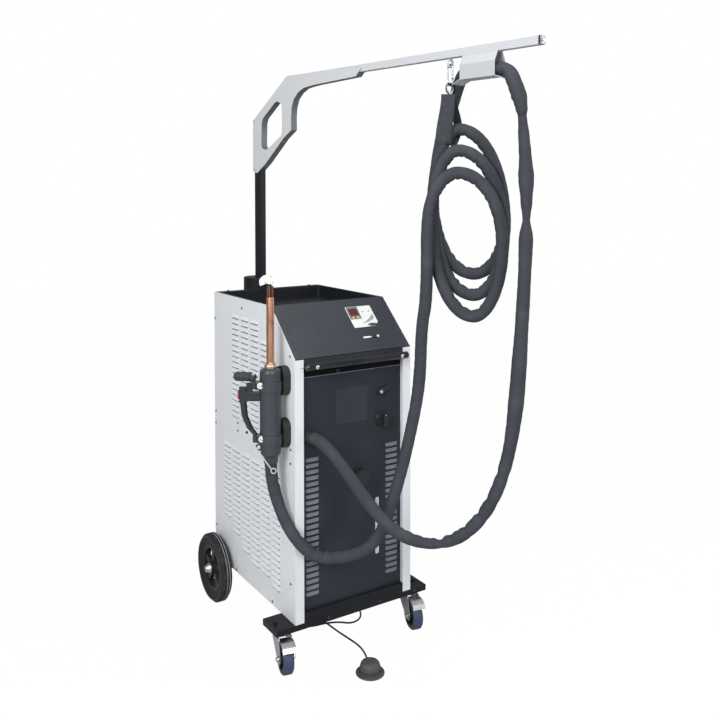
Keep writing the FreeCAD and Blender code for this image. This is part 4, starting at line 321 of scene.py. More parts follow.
COATS = {
    "pale_coat": ((0.66, 0.68, 0.71), 0.42),
    "arm_coat": ((0.47, 0.485, 0.505), 0.34, 0.04),
    "saddle_coat": ((0.41, 0.425, 0.445), 0.36, 0.04),
    "dark_coat": ((0.018, 0.021, 0.029), 0.34, 0.0, 0.16, 0.0018),
    "slope_coat": ((0.03, 0.035, 0.043), 0.34, 0.03, 0.3, 0.0018),
    "black_coat": ((0.011, 0.012, 0.015), 0.38, 0.0, 0.16, 0.0018),
    "bar_coat": ((0.014, 0.015, 0.018), 0.2, 0.0),
    # Painted highlight: a pale grey for the lines of light along the front panel's edges.
    "louvre_coat": ((0.13, 0.14, 0.16), 0.42, 0.02),
    "shadow_coat": ((0.27, 0.28, 0.3), 0.5, 0.0, 0.2),
    # Painted shade: a near-black for the shaded recess under the push bar.
    "gap_black": ((0.003, 0.003, 0.004), 0.5, 0.0, 0.1),
    "cast": ((0.1, 0.11, 0.12), 0.6, 0.06, 0.5, 0.0009, 0.0004),
}
METALS = {
    "zinc": ((0.62, 0.63, 0.65), 0.34),
    "bright_steel": ((0.78, 0.79, 0.81), 0.2),
    "chain_steel": ((0.36, 0.37, 0.39), 0.24),
    "aluminium": ((0.72, 0.73, 0.74), 0.38),
    "gold_key": ((0.62, 0.48, 0.2), 0.32),
    "tin_copper": ((0.74, 0.53, 0.4), 0.3),
    "lead_copper": ((0.26, 0.12, 0.08), 0.34),
}
PLASTICS = {
    "black_plastic": ((0.014, 0.015, 0.017), 0.42),
    "torch_plastic": ((0.034, 0.04, 0.05), 0.32, 520.0, 0.00022, 0.0016),
    "handle_plastic": ((0.02, 0.023, 0.028), 0.2, 420.0, 0.00016, 0.0022),
    "grip_rubber": ((0.028, 0.032, 0.038), 0.55, 300.0, 0.0004, 0.0016),
    "holder_rubber": ((0.01, 0.01, 0.012), 0.55, 260.0, 0.0005, 0.002),
    "pedal_rubber": ((0.05, 0.053, 0.056), 0.6, 380.0, 0.0004, 0.0016),
    "red_plastic": ((0.24, 0.014, 0.012), 0.34),
    "white_plastic": ((0.72, 0.72, 0.7), 0.4),
    "blue_tread": ((0.03, 0.046, 0.105), 0.5),
    "tether_grey": ((0.46, 0.47, 0.48), 0.4),
    "lead_rubber": ((0.012, 0.012, 0.013), 0.5),
    "overlay_sheet": ((0.62, 0.63, 0.62), 0.35, 800.0, 0.00006, 0.0004),
    "overlay_grey": ((0.1, 0.105, 0.115), 0.35, 800.0, 0.00006, 0.0004),
    "wedge_grey": ((0.26, 0.27, 0.28), 0.4, 800.0, 0.00006, 0.0004),
}
GLASSES = {"display_glass": ((0.045, 0.012, 0.01),), "level_glass": ((0.42, 0.45, 0.47),)}
OTHERS = {
    "front_coat": front_paint, "bracket_paint": bracket_paint, "sleeve": sleeve_cloth, "webbing": strap_web,
    "drawn_copper": drawn_copper, "arm_cap": arm_cap, "work_coil": work_coil, "wheel_rubber": wheel_rubber,
}
NODES_OF = {
    "pale_coat": "left_side_panel right_side_panel",
    "front_coat": "front_panel",
    "slope_coat": "control_panel",
    "dark_coat": "rear_panel",
    "black_coat": "top_tray base_plate front_beam mast_socket bracket_bolts mast",
    "arm_coat": "head_bracket arm_tube",
    "arm_cap": "arm_end_cap",
    "saddle_coat": "hose_saddle",
    "bar_coat": "push_bar",
    "zinc": "rear_axle castor_fork_left castor_fork_right castor_brake_left castor_brake_right",
    "chain_steel": "carabiner carabiner_gate",
    "aluminium": "radiator inverter_module",
    "tin_copper": "transformer",
    "drawn_copper": "torch_barrel",
    "cast": "coolant_pump",
    "overlay_sheet": "keypad",
    "overlay_grey": "display_window",
    "black_plastic": "main_switch_base main_switch_knob hose_gland tank_cap fan_rotor latch_lever cable_glands "
                     "castor_wheel_left castor_wheel_right rear_rim_left rear_rim_right",
    "white_plastic": "coolant_tank",
    "red_plastic": "torch_button",
    "torch_plastic": "torch_housing torch_clamps",
    "handle_plastic": "torch_handle",
    "level_glass": "level_window",
    "work_coil": "inductor",
    "grip_rubber": "side_grip",
    "holder_rubber": "torch_holders",
    "pedal_rubber": "pedal_base pedal_dome",
    "lead_rubber": "pedal_cable",
    "wheel_rubber": "rear_tyre_left rear_tyre_right",
    "webbing": "sling",
    "sleeve": "hose_feed hose_coil hose_drop hose_tail",
}

FINISHES = {}
for kind, table in ((powder_coat, COATS), (plated, METALS), (moulded, PLASTICS), (tinted_glass, GLASSES)):
    FINISHES.update({name: kind(name, *row).material for name, row in table.items()})
FINISHES.update({name: kind().material for name, kind in OTHERS.items()})
for finish, names in NODES_OF.items():
    for name in names.split():
        nodes[name].data.materials.clear()
        nodes[name].data.materials.append(FINISHES[finish])


# Building


def shift(x, y, z):
    return Matrix.Translation((x, y, z))


def spin(angle, axis):
    """A turn by this many degrees about an axis."""
    return Matrix.Rotation(math.radians(angle), 4, axis)


def standing(place, along=Z_AXIS):
    """A frame at place whose Z axis points along."""
    return Matrix.Translation(place) @ Vector(along).to_track_quat("Z", "Y").to_matrix().to_4x4()


def shown(name, data):
    made = bpy.data.objects.new(name, data)
    bpy.context.scene.collection.objects.link(made)
    return made


def rect(left, low, right, high):
    return [(left, low), (right, low), (right, high), (left, high)]


class Form:
    """One piece under construction, from turned, boxed, flat and swept shapes."""

    def __init__(self):
        self.mesh = bmesh.new()
        self.along = self.mesh.loops.layers.uv.new("Along")

    def ring(self, place, points):
        return [self.mesh.verts.new(place @ Vector(point)) for point in points]

    def bridge(self, low, high):
        """Faces between two rings of corners, where a ring of one corner is a tip."""
        made = []
        for number in range(max(len(low), len(high))):
            after = number + 1
            corners = [low[number % len(low)], low[after % len(low)], high[after % len(high)], high[number % len(high)]]
            corners = list(dict.fromkeys(corners))
            if len(corners) > 2:
                made.append(self.mesh.faces.new(corners))
        return made

    def turned(self, profile, place, sides=32):
        """A profile of (radius, height) turned round the Z axis of place."""
        rings = []
        for radius, height in profile:
            angles = [2 * math.pi * number / sides for number in range(sides if radius else 1)]
            points = [(radius * math.cos(angle), radius * math.sin(angle), height) for angle in angles]
            rings.append(self.ring(place, points))
        for low, high in zip(rings, rings[1:]):
            self.bridge(low, high)
        return self

    def block(self, size, place, edge):
        made = bmesh.ops.create_cube(self.mesh, size=1, matrix=place @ Matrix.Diagonal((*size, 1)))
        edges = {side for corner in made["verts"] for side in corner.link_edges}
        bmesh.ops.bevel(self.mesh, geom=list(edges), offset=edge, segments=3, profile=0.5, affect="EDGES")
        return self

    def plate(self, outline, thick, place, edge=0.0, rounding=0.0):
        """A flat plate with this outline in the XY plane of place, its edges softened by edge."""
        corners = rounded_outline(outline, rounding) if rounding else [Vector(point) for point in outline]
        levels = [(corners, 0.0), (corners, thick - edge)]
        if edge:
            levels.append(([inwards(corners, number, edge) for number in range(len(corners))], thick))
        rings = [self.ring(place, [(*point, height) for point in points]) for points, height in levels]
        for low, high in zip(rings, rings[1:]):
            self.bridge(low, high)
        self.mesh.faces.new(rings[-1])
        self.mesh.faces.new(rings[0][::-1])
        return self

    def framed(self, outline, window, thick, place):
        """A plate of this thickness with a window cut through it."""
        caps = ([], [])
        for points in (outline, window):
            levels = [self.ring(place, [(*point, height) for point in points]) for height in (0, thick)]
            for face in self.bridge(*levels):
                for edges, level in zip(caps, levels):
                    edges += [edge for edge in face.edges if set(edge.verts) <= set(level)]
        for edges in caps:
            bmesh.ops.triangle_fill(self.mesh, use_beauty=True, edges=edges)
        return self

    def tube(self, line, radius, sides=12, closed=False, section=None):
        """A round tube down a line; section(distance, angle, bend) changes its radius from place to place."""
        directions = tangents(line, closed)
        side = directions[0].orthogonal().normalized()
        rings = []
        travelled = 0.0
        for index, (point, direction) in enumerate(zip(line, directions)):
            if index:
                travelled += (point - line[index - 1]).length
                side = (side - direction * side.dot(direction)).normalized()
            other = direction.cross(side)
            following = directions[min(index + 1, len(line) - 1)] - directions[max(index - 1, 0)]
            ring = []
            for number in range(sides):
                angle = 2 * math.pi * number / sides
                away = side * math.cos(angle) + other * math.sin(angle)
                reach = radius * section(travelled, angle, following.dot(away)) if section else radius
                ring.append(self.mesh.verts.new(point + away * reach))
            rings.append((ring, travelled))
        pairs = list(zip(rings, rings[1:])) + ([(rings[-1], rings[0])] if closed else [])
        for (low, start), (high, end) in pairs:
            for number, face in enumerate(self.bridge(low, high)):
                wraps = [number, number + 1, number + 1, number]
                for loop, wrap, reached in zip(face.loops, wraps, (start, start, end, end)):
                    loop[self.along].uv = (reached, wrap / sides * 2 * math.pi * radius)
        if not closed:
            self.mesh.faces.new(rings[0][0][::-1])
            self.mesh.faces.new(rings[-1][0])
        return self

    def piece(self, name, finish, body="chassis", slot=None, stands_for=(), angle=35):
        bmesh.ops.recalc_face_normals(self.mesh, faces=self.mesh.faces)
        data = bpy.data.meshes.new(name)
        self.mesh.to_mesh(data)
        self.mesh.free()
        data.shade_smooth()
        data.set_sharp_from_angle(angle=math.radians(angle))
        data.materials.append(FINISHES[finish])
        made = shown(name, data)
        if body:
            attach(made, body)
        if stands_for:
            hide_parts(*stands_for)
        return made


def inwards(corners, number, reach):
    """A corner of an outline moved in by reach, along the mean of its two sides' normals."""
    here = Vector(corners[number])
    back = (here - Vector(corners[number - 1])).normalized()
    ahead = (Vector(corners[(number + 1) % len(corners)]) - here).normalized()
    return here - Vector((back.y + ahead.y, -back.x - ahead.x)).normalized() * reach


def rounded_outline(outline, radius, steps=6):
    """The outline, counter-clockwise, with each corner rounded."""
    points = []
    for number, corner in enumerate(outline):
        here = Vector(corner)
        back = Vector(outline[number - 1]) - here
        ahead = Vector(outline[(number + 1) % len(outline)]) - here
        reach = min(radius, back.length * 0.45, ahead.length * 0.45)
        start = here + back.normalized() * reach
        end = here + ahead.normalized() * reach
        for step in range(steps + 1):
            share = step / steps
            points.append(start * (1 - share) ** 2 + here * 2 * share * (1 - share) + end * share ** 2)
    return points


def tangents(line, closed=False):
    found = []
    for index in range(len(line)):
        before = line[index - 1] if index or closed else line[0]
        after = line[(index + 1) % len(line)] if closed or index + 1 < len(line) else line[-1]
        found.append((after - before).normalized())
    return found


def arc(centre, first, second, radius, start, end, steps):
    """Points on a bend from start to end degrees, in the plane of the first and second directions."""
    points = []
    for step in range(steps + 1):
        angle = math.radians(start + (end - start) * step / steps)
        points.append(centre + (first * math.cos(angle) + second * math.sin(angle)) * radius)
    return points


def on_panel(columns, origin):
    """A frame from the directions of its X, Y and Z axes and its origin."""
    matrix = Matrix(columns).transposed().to_4x4()
    matrix.translation = origin
    return matrix


FRONT_AXES = ((1, 0, 0), (0, 0, 1), (0, -1, 0))
LEFT_AXES = ((0, -1, 0), (0, 0, 1), (-1, 0, 0))
TORCH = shift(-0.289, -0.27, 0) @ spin(147.3, "Z")
ARM = shift(*MAST_AT) @ spin(10.4, "Z")
SLOPE = shift(0, -0.328, 1.015) @ spin(42.37, "X")
FACE = on_panel(FRONT_AXES, (0, -0.313, 0))
BACK = on_panel(((-1, 0, 0), (0, 0, 1), (0, 1, 0)), (0, 0.326, 0))
LEFT_SIDE = on_panel(LEFT_AXES, (-0.231, 0, 0))
RIGHT_SIDE = on_panel(((0, 1, 0), (0, 0, 1), (1, 0, 0)), (0.231, 0, 0))


def at(panel, x, y, height=0.0):
    """A frame that stands on a panel at its own x and y."""
    return panel @ shift(x, y, height)


def on_arm(along, across, height):
    return ARM @ Vector((across, -along, height))


def turned_set(name, finish, body, profile, places, sides):
    """One piece with the same turned profile at each place."""
    form = Form()
    for place in places:
        form.turned(profile, place, sides)
    form.piece(name, finish, body)


def pan_screw(form, place, radius=0.0036, height=0.002):
    """A button-head screw with a washer face and a hexagon socket."""
    form.turned(
        [(0, -0.0004), (radius * 1.25, -0.0004), (radius * 1.25, 0.0004), (radius, 0.0005), (radius, height * 0.45),
         (radius * 0.86, height * 0.82), (radius * 0.6, height), (radius * 0.46, height)],
        place, 20,
    )
    form.turned([(radius * 0.46, height), (radius * 0.4, height * 0.3), (0, height * 0.3)], place, 6)


def hex_bolt(form, place, radius, height):
    """A hexagon head with a chamfer, on a plain washer."""
    form.turned([(0, 0), (radius * 1.55, 0), (radius * 1.55, radius * 0.22), (0, radius * 0.22)], place, 28)
    seat = place @ Matrix.Translation((0, 0, radius * 0.22))
    form.turned([(radius, 0), (radius, height * 0.82), (radius * 0.86, height), (0, height)], seat, 6)


# The hose and the cable: routes in metres, each followed by one smooth line

FEED_ROUTE = [
    (-0.167, -0.341, 0.754), (-0.167, -0.375, 0.754), (-0.16, -0.413, 0.74), (-0.143, -0.45, 0.708),
    (-0.115, -0.488, 0.65), (-0.072, -0.528, 0.57), (-0.02, -0.57, 0.5), (0.035, -0.612, 0.464),
    (0.098, -0.664, 0.455), (0.155, -0.722, 0.496), (0.198, -0.775, 0.578), (0.224, -0.82, 0.7),
    (0.24, -0.848, 0.86), (0.25, -0.864, 1.12), (0.257, -0.876, 1.39), (0.258, -0.876, 1.61),
    (0.252, -0.866, 1.76),
]
FEED_ON_ARM = [(1.292, 0, 1.826), (1.268, 0, 1.884), (1.246, 0, 1.928), (1.215, 0, 1.931)]
COIL_ON_ARM = [
    (1.215, 0, 1.931), (1.148, 0, 1.931), (1.08, -0.0015, 1.931), (1.046, 0.024, 1.925), (1.008, 0.046, 1.89),
    (0.984, 0.051, 1.835),
]
DROP_ROUTE = [
    (0.102, -0.565, 1.13), (0.114, -0.54, 0.93), (0.1, -0.502, 0.75), (0.074, -0.476, 0.6),
    (0.038, -0.452, 0.466), (0.012, -0.438, 0.41), (-0.028, -0.418, 0.374), (-0.076, -0.401, 0.365),
    (-0.096, -0.3952, 0.365),
]
TAIL_ROUTE = [
    (-0.096, -0.3952, 0.365), (-0.149, -0.37983, 0.365), (-0.199, -0.368, 0.392), (-0.242, -0.353, 0.44),
    (-0.264, -0.316, 0.496), (-0.277, -0.284, 0.562), (-0.289, -0.27, 0.636), (-0.289, -0.27, 0.676),
]
CABLE_ROUTE = [
    (-0.0156, -0.4327, 0.012), (-0.007, -0.412, 0.004), (0.008, -0.378, 0.0031), (0.019, -0.325, 0.0031),
    (0.011, -0.255, 0.0031), (0.003, -0.19, 0.0031), (0, -0.125, 0.0031), (-0.024, -0.066, 0.0031),
    (-0.072, -0.056, 0.0031), (-0.094, -0.098, 0.0031), (-0.062, -0.134, 0.008), (-0.02, -0.152, 0.016),
    (0.028, -0.171, 0.016), (0.074, -0.187, 0.004), (0.124, -0.172, 0.0031), (0.148, -0.126, 0.01),
    (0.138, -0.084, 0.052), (0.132, -0.072, 0.101), (0.132, -0.072, 0.125),
]

# The hanging coil: each turn's lowest, right, highest and left point as (wide, near, height)
COIL_ENTRY = (-0.09, -0.077, 1.76)
COIL_LEFT = [(-0.12, -0.066, 1.54), (-0.118, -0.022, 1.5), (-0.12, 0.022, 1.47), (-0.13, 0.066, 1.45)]
COIL_LOW = [(0.012, -0.055, 1.287), (0.012, -0.011, 1.223), (0.012, 0.033, 1.16)]
COIL_RIGHT = [(0.117, -0.044, 1.455), (0.112, 0, 1.425), (0.106, 0.044, 1.395)]
COIL_HIGH = [(-0.032, -0.033, 1.765), (-0.032, 0.011, 1.694), (-0.032, 0.055, 1.621)]
COIL_END = (-0.13, 0.066, 1.39)
DROP_START = (-0.13, 0.066, 1.225)
HOSE = 0.04
HOSE_SIDES = 28
LINE_STEP = 0.005
CABLE = 0.006
COIL_X, COIL_Y = 0.228, -0.648
WIDE_X, WIDE_Y = 0.763, -0.646


def in_coil(wide, near, height):
    """A point from the coil's own measures: across its face, towards the viewer, and up."""
    return Vector((COIL_X + wide * WIDE_X + near * WIDE_Y, COIL_Y + wide * WIDE_Y - near * WIDE_X, height))


def quarter(start, end, steep, steps=4):
    """The rest of a quarter turn of the coil after its start; steep where it leaves upright."""
    points = []
    for step in range(1, steps + 1):
        share = step / steps
        turn = math.radians(90 * share)
        wide_share, high_share = (1 - math.cos(turn), math.sin(turn)) if steep else (math.sin(turn), 1 - math.cos(turn))
        points.append(in_coil(
            start[0] + (end[0] - start[0]) * wide_share,
            start[1] + (end[1] - start[1]) * share,
            start[2] + (end[2] - start[2]) * high_share,
        ))
    return points


def coil_route():
    route = [on_arm(*point) for point in COIL_ON_ARM]
    route += [in_coil(*COIL_ENTRY), in_coil(*COIL_LEFT[0])]
    for turn in range(len(COIL_HIGH)):
        route += quarter(COIL_LEFT[turn], COIL_LOW[turn], True)
        route += quarter(COIL_LOW[turn], COIL_RIGHT[turn], False)
        route += quarter(COIL_RIGHT[turn], COIL_HIGH[turn], True)
        route += quarter(COIL_HIGH[turn], COIL_LEFT[turn + 1], False)
    return route + [in_coil(*COIL_END)]


def smooth_curve(name, route, thick=0.0):
    """One open spline with the route's points as its control points."""
    curve = bpy.data.curves.new(name, "CURVE")
    curve.dimensions = "3D"
    spline = curve.splines.new("NURBS")
    spline.points.add(len(route) - 1)
    for point, place in zip(spline.points, route):
        point.co = (*place, 1)
    spline.order_u = 3
    spline.use_endpoint_u = True
    spline.resolution_u = 24
    curve.bevel_depth = thick / 2
    curve.bevel_resolution = 6
    curve.use_fill_caps = thick > 0
    return bpy.data.objects.new(name, curve)


def read_line(route, step):
    """The smooth line of a route, read from its spline at an even pace."""
    holder = smooth_curve("route", route)
    mesh = bpy.data.meshes.new_from_object(holder)
    raw = [corner.co.copy() for corner in mesh.vertices]
    bpy.data.meshes.remove(mesh)
    bpy.data.curves.remove(holder.data)
    reached = [0.0]
    for before, after in zip(raw, raw[1:]):
        reached.append(reached[-1] + (after - before).length)
    count = max(2, round(reached[-1] / step))
    line = []
    index = 0
    for number in range(count + 1):
        wanted = reached[-1] * number / count
        while index + 2 < len(raw) and reached[index + 1] < wanted:
            index += 1
        share = (wanted - reached[index]) / max(reached[index + 1] - reached[index], 1e-9)
        line.append(raw[index].lerp(raw[index + 1], share))
    return line, reached[-1]


def girth(table, distance):
    """The hose's width as a share of its plain width, from a table of (distance, share)."""
    if distance <= table[0][0]:
        return table[0][1]
    for (before, first), (after, second) in zip(table, table[1:]):
        if distance <= after:
            share = (distance - before) / (after - before)
            return first + (second - first) * share * share * (3 - 2 * share)
    return table[-1][1]


def sleeve_section(seed, length, widths, creases):
    """How the baggy sleeve leaves a plain tube: folds inside its bends, slow flats, and creases at known places."""
    chance = random.Random(seed)
    folds = []
    place = 0.03
    while place < length:
        folds.append((place, chance.uniform(0.7, 1.0), chance.uniform(0.005, 0.009), chance.uniform(-0.5, 0.5)))
        place += chance.uniform(0.026, 0.056)
    folds += [(place, 2.6, 0.011, 0.3) for place in creases]
    flats = [(chance.uniform(0.1, 0.45), chance.uniform(0, 6.28), chance.uniform(0.4, 1.0)) for _ in range(5)]

    def section(distance, angle, bend):
        size = 0.985 * girth(widths, distance)
        for wave, phase, share in flats:
            size += 0.01 * share * math.sin(distance / wave * 2 * math.pi + phase + 2 * angle)
        inner = min(1.0, max(0.0, bend * 14))
        for fold, deep, width, lean in folds:
            away = (distance - fold - lean * 0.012 * math.sin(angle)) / width
            if abs(away) < 3:
                size -= (0.03 + 0.11 * inner) * deep * math.exp(-away * away)
                size += 0.06 * inner * deep * math.exp(-(abs(away) - 1.7) ** 2 * 2)
        return min(1.26, size)

    return section


def hose_piece(name, route, seed, stands_for, widths=((0, 1),), creases=()):
    line, length = read_line(route, LINE_STEP)
    form = Form().tube(line, HOSE / 2, HOSE_SIDES, False, sleeve_section(seed, length, widths, creases))
    return form.piece(name, "sleeve", None, "hose_fabric", stands_for, 60), line, length


FEED_WIDTHS = (
    (0.0, 1.0), (0.45, 0.98), (0.54, 0.8), (0.64, 1.0), (0.95, 1.0), (1.03, 1.1), (1.12, 1.2), (1.2, 1.2),
    (1.34, 1.04), (1.5, 1.0), (1.602, 1.08), (1.66, 0.62), (1.712, 0.9), (1.785, 1.2), (1.85, 0.95), (1.905, 0.85),
    (1.965, 0.68), (1.99, 0.92), (2.03, 1.2), (2.08, 1.16), (2.13, 1.0),
)
FEED_CREASES = (0.56, 0.655, 0.725, 0.785, 0.88)
feed_route = FEED_ROUTE + [tuple(on_arm(*point)) for point in FEED_ON_ARM]
feed, feed_line, feed_length = hose_piece(
    "hose_feed_sleeve", feed_route, 3, ("hose_feed",), FEED_WIDTHS, FEED_CREASES
)
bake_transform(feed)

coil, coil_line, coil_length = hose_piece("hose_coil_sleeve", coil_route(), 5, ("hose_coil",))
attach(coil, "arm")

drop_route = [in_coil(*COIL_END), in_coil(*DROP_START)] + DROP_ROUTE
drop, drop_line, drop_length = hose_piece("hose_drop_sleeve", drop_route, 8, ("hose_drop",))
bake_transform(drop)

tail, tail_line, tail_length = hose_piece("hose_tail_sleeve", TAIL_ROUTE, 11, ("hose_tail",))
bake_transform(tail)

pedal_lead = smooth_curve("pedal_lead", CABLE_ROUTE, CABLE)
pedal_lead.data.materials.append(FINISHES["lead_rubber"])
bpy.context.scene.collection.objects.link(pedal_lead)
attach(pedal_lead, "chassis")
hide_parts("pedal_cable")
lead_line, lead_length = read_line(CABLE_ROUTE, LINE_STEP)


# The webbing sling

WEB_SECTION = (
    (-1, 0), (-0.94, 1), (-0.4, 1.1), (0.4, 1.1), (0.94, 1), (1, 0), (0.94, -1), (0.4, -1.1), (-0.4, -1.1), (-0.94, -1),
)


def ribbon(form, stations, thick):
    """Flat webbing through stations of (middle, half width, width direction), with rounded selvedges."""
    middles = [station[0] for station in stations]
    travelled = 0.0
    rings = []
    for index, ((middle, half, across), direction) in enumerate(zip(stations, tangents(middles))):
        if index:
            travelled += (middle - middles[index - 1]).length
        across = (across - direction * across.dot(direction)).normalized()
        face = across.cross(direction)
        places = [middle + across * (share * half) + face * (level * thick / 2) for share, level in WEB_SECTION]
        rings.append(([form.mesh.verts.new(place) for place in places], travelled, half))
    for (low, start, narrow), (high, end, wide) in zip(rings, rings[1:]):
        for number, face in enumerate(form.bridge(low, high)):
            after = (number + 1) % len(WEB_SECTION)
            marks = ((number, start, narrow), (after, start, narrow), (after, end, wide), (number, end, wide))
            for loop, (place, reached, half) in zip(face.loops, marks):
                loop[form.along].uv = (reached, WEB_SECTION[place][0] * half)
    form.mesh.faces.new(rings[0][0][::-1])
    form.mesh.faces.new(rings[-1][0])


def sling_stations():
    """Down the near branch, under the top turn, and up the far branch, which is twisted."""
    wide = Vector((WIDE_X, WIDE_Y, 0))
    near = Vector((WIDE_Y, -WIDE_X, 0))
    top_near, top_height = COIL_HIGH[0][1:]
    radius = HOSE / 2 + 0.0042
    near_low = (-0.082, top_near + radius, top_height - 0.052)
    far_low = (-0.036, top_near - radius, top_height - 0.004)
    stations = []

    def branch(start, end, half, twist):
        for step in range(9):
            ease = math.sin(math.pi / 2 * step / 8) ** 2
            place = [start[axis] + (end[axis] - start[axis]) * (step / 8 if axis == 2 else ease) for axis in range(3)]
            width = half[0] + (half[1] - half[0]) * ease
            stations.append((in_coil(*place), width, wide + near * (twist[0] + (twist[1] - twist[0]) * ease)))

    branch((-0.066, 0.012, 1.868), near_low, (0.023, 0.026), (0.25, 0.0))
    for step in range(1, 12):
        angle = math.radians(15 * step)
        place = [near_low[axis] + (far_low[axis] - near_low[axis]) * step / 12 for axis in range(3)]
        place[1] = top_near + radius * math.cos(angle)
        place[2] -= radius * math.sin(angle)
        stations.append((in_coil(*place), 0.026 - 0.012 * step / 12, wide))
    branch(far_low, (-0.05, -0.01, 1.868), (0.014, 0.011), (0.0, 0.7))
    return stations


sling = Form()
ribbon(sling, sling_stations(), 0.0028)
sling.piece("sling_webbing", "webbing", "arm", "webbing", ("sling",), 60)


# Cabinet fittings

FRONT = 0.328
LOUVRE_STEP = 0.0805
LOUVRE_HALF = 0.0285
SHADE_STRIP_HEIGHT = 0.0066
SWITCH = (0.1174, 0.7695)
LATCH = (0.1116, 0.8665)
GRIP_ALONG = 0.057
SIDE_SCREWS = [
    (0.403, 1.136), (0.649, 1.069), (0.6455, 0.708), (0.646, 0.662), (0.4415, 0.707), (0.442, 0.679), (0.032, 1.021),
    (0.031, 0.715), (0.0315, 0.669), (0.032, 0.27), (0.643, 0.262), (0.461, 0.153), (0.166, 0.156),
]
SLOPE_RIVETS = (0.028, 0.073, 0.118, 0.163, 0.208)

screws = Form()
for back, height in SIDE_SCREWS:
    pan_screw(screws, at(LEFT_SIDE, FRONT - back, height))
    pan_screw(screws, at(RIGHT_SIDE, back - FRONT, height))
for x in (-0.2, 0.2):
    for height in (0.18, 0.5, 0.82, 1.12):
        pan_screw(screws, at(BACK, x, height))
for x in (-0.18, 0.18):
    pan_screw(screws, standing((x, 0.312, 1.171)), 0.005, 0.0045)
for x in (-0.1044, 0.1012, 0.25):
    pan_screw(screws, at(on_panel(FRONT_AXES, (0, -0.3282, 0)), x, 0.136), 0.0046)
screws.piece("cabinet_screws", "black_plastic")

# Painted shade under the louvre hoods, as thin grey plates on the side panels.
louvre_shadows = Form()


def shade_under_hoods(panel, across, top, rows):
    """Painted shade: grey strips under a column of pressed hoods, where the openings and the panel below lie in shade.
    """
    for row in rows:
        high = top - row * LOUVRE_PITCH
        louvre_shadows.plate(rect(across - LOUVRE_HALF, high - SHADE_STRIP_HEIGHT, across + LOUVRE_HALF, high), 0.0005, panel)


for column, start in enumerate((0, 0, 0, 3)):
    across = FRONT - (0.491 - 0.0295 - column * LOUVRE_STEP)
    shade_under_hoods(LEFT_SIDE, across, 1.095, range(start, 19))
    shade_under_hoods(RIGHT_SIDE, -across, 0.601, range(6, 14))
for column, count in enumerate((14, 16, 18, 19, 19, 20)):
    shade_under_hoods(LEFT_SIDE, FRONT - (0.568 - 0.0295 - column * LOUVRE_STEP), 0.601, range(count))
louvre_shadows.piece("louvre_shade_strips", "shadow_coat")

# Painted shade: a near-black strip for the shaded recess between the push bar and the top edge of the front panel.
Form().plate(rect(-0.208, 0.9508, 0.208, 0.9835), 0.0006, FACE).piece("panel_top_recess_shade", "gap_black")
# Painted highlights: pale grey lines for the light caught on the front panel's top edge and on the edge above the
# recess.
highlight_lines = Form().plate(rect(-0.208, 0.9482, 0.208, 0.9508), 0.001, FACE, 0.0004)
highlight_lines.plate(rect(-0.2085, 0.9835, 0.2085, 0.985), 0.016, FACE, 0.0004)
highlight_lines.piece("panel_edge_highlights", "louvre_coat")
rim = Form()
for x in (0.2187, -0.2187):
    rim.block((0.001, 0.45, 0.0075), shift(x, 0.08, 1.1668), 0.0003)
rim.piece("tray_edges", "wedge_grey")

rivet = [(0.0064, -0.0002), (0.006, 0.0004), (0.0036, 0.001), (0, 0.0011)]
rivet_places = [at(SLOPE, x, up) for x in (-0.212, 0.212) for up in SLOPE_RIVETS]
turned_set("slope_rivets", "slope_coat", "chassis", rivet, rivet_places, 24)
stud = [(0.0062, -0.0002), (0.0062, 0.0012), (0.005, 0.0024), (0.0022, 0.0026), (0, 0.0018)]
stud_places = [at(FACE, *place) for place in ((0.1018, 0.716), (0.1018, 0.691), (0.0035, 0.62), (-0.06, 0.959))]
turned_set("front_studs", "black_plastic", "chassis", stud, stud_places, 28)
bare_plate = Form().plate(rect(-0.0666, 0.7746, 0.0596, 0.8966), 0.001, FACE, 0.0004, 0.005)
bare_plate.piece("front_bare_plate", "slope_coat")

# The keypad on the sloping panel, its print in plain shapes

OVERLAY = [(0.047, 0.102), (0.134, 0.102), (0.152, 0.12), (0.152, 0.196), (0.047, 0.196)]
overlay = Form().plate(OVERLAY, 0.0013, SLOPE, 0.0003, 0.005)
overlay.piece("keypad_overlay", "overlay_sheet", "chassis", "white_plastic", ("keypad",))
CORNER = [(0.049, 0.1385), (0.0935, 0.1385), (0.0965, 0.1945), (0.049, 0.1945)]
Form().plate(CORNER, 0.0015, SLOPE, 0.0001, 0.003).piece("keypad_corner", "overlay_grey")
display = Form().plate(rect(0.0555, 0.156, 0.089, 0.185), 0.0021, SLOPE, 0.0004, 0.002)
display.piece("display_glass", "display_glass", "chassis", "blue_display", ("display_window",))
DIGIT_LEVEL = 0.00225
digits = Form()
for column in (0.0605, 0.0745):
    for low in (0.1605, 0.1705):
        for left in (column, column + 0.0085):
            digits.plate(rect(left, low + 0.0008, left + 0.0012, low + 0.0082), DIGIT_LEVEL, SLOPE)
    for low in (0.16, 0.1698, 0.1796):
        digits.plate(rect(column + 0.0016, low, column + 0.0081, low + 0.0011), DIGIT_LEVEL, SLOPE)
digits.piece("display_segments", "red_plastic")
key = [(0.0068, 0.0014), (0.0064, 0.002), (0.004, 0.0026), (0, 0.0028)]
turned_set("membrane_keys", "gold_key", "chassis", key, [at(SLOPE, x, 0.146) for x in (0.065, 0.084)], 32)
lamp_dot = [(0.0028, 0.0013), (0.0024, 0.0018), (0, 0.0019)]
turned_set("keypad_lamps", "overlay_grey", "chassis", lamp_dot, [at(SLOPE, x, 0.17) for x in (0.11, 0.136)], 20)
WEDGE = [(0.084, 0.117), (0.112, 0.122), (0.142, 0.134), (0.146, 0.158), (0.128, 0.141), (0.106, 0.127)]
Form().plate(WEDGE, 0.0015, SLOPE, 0.0001).piece("power_wedge", "wedge_grey")
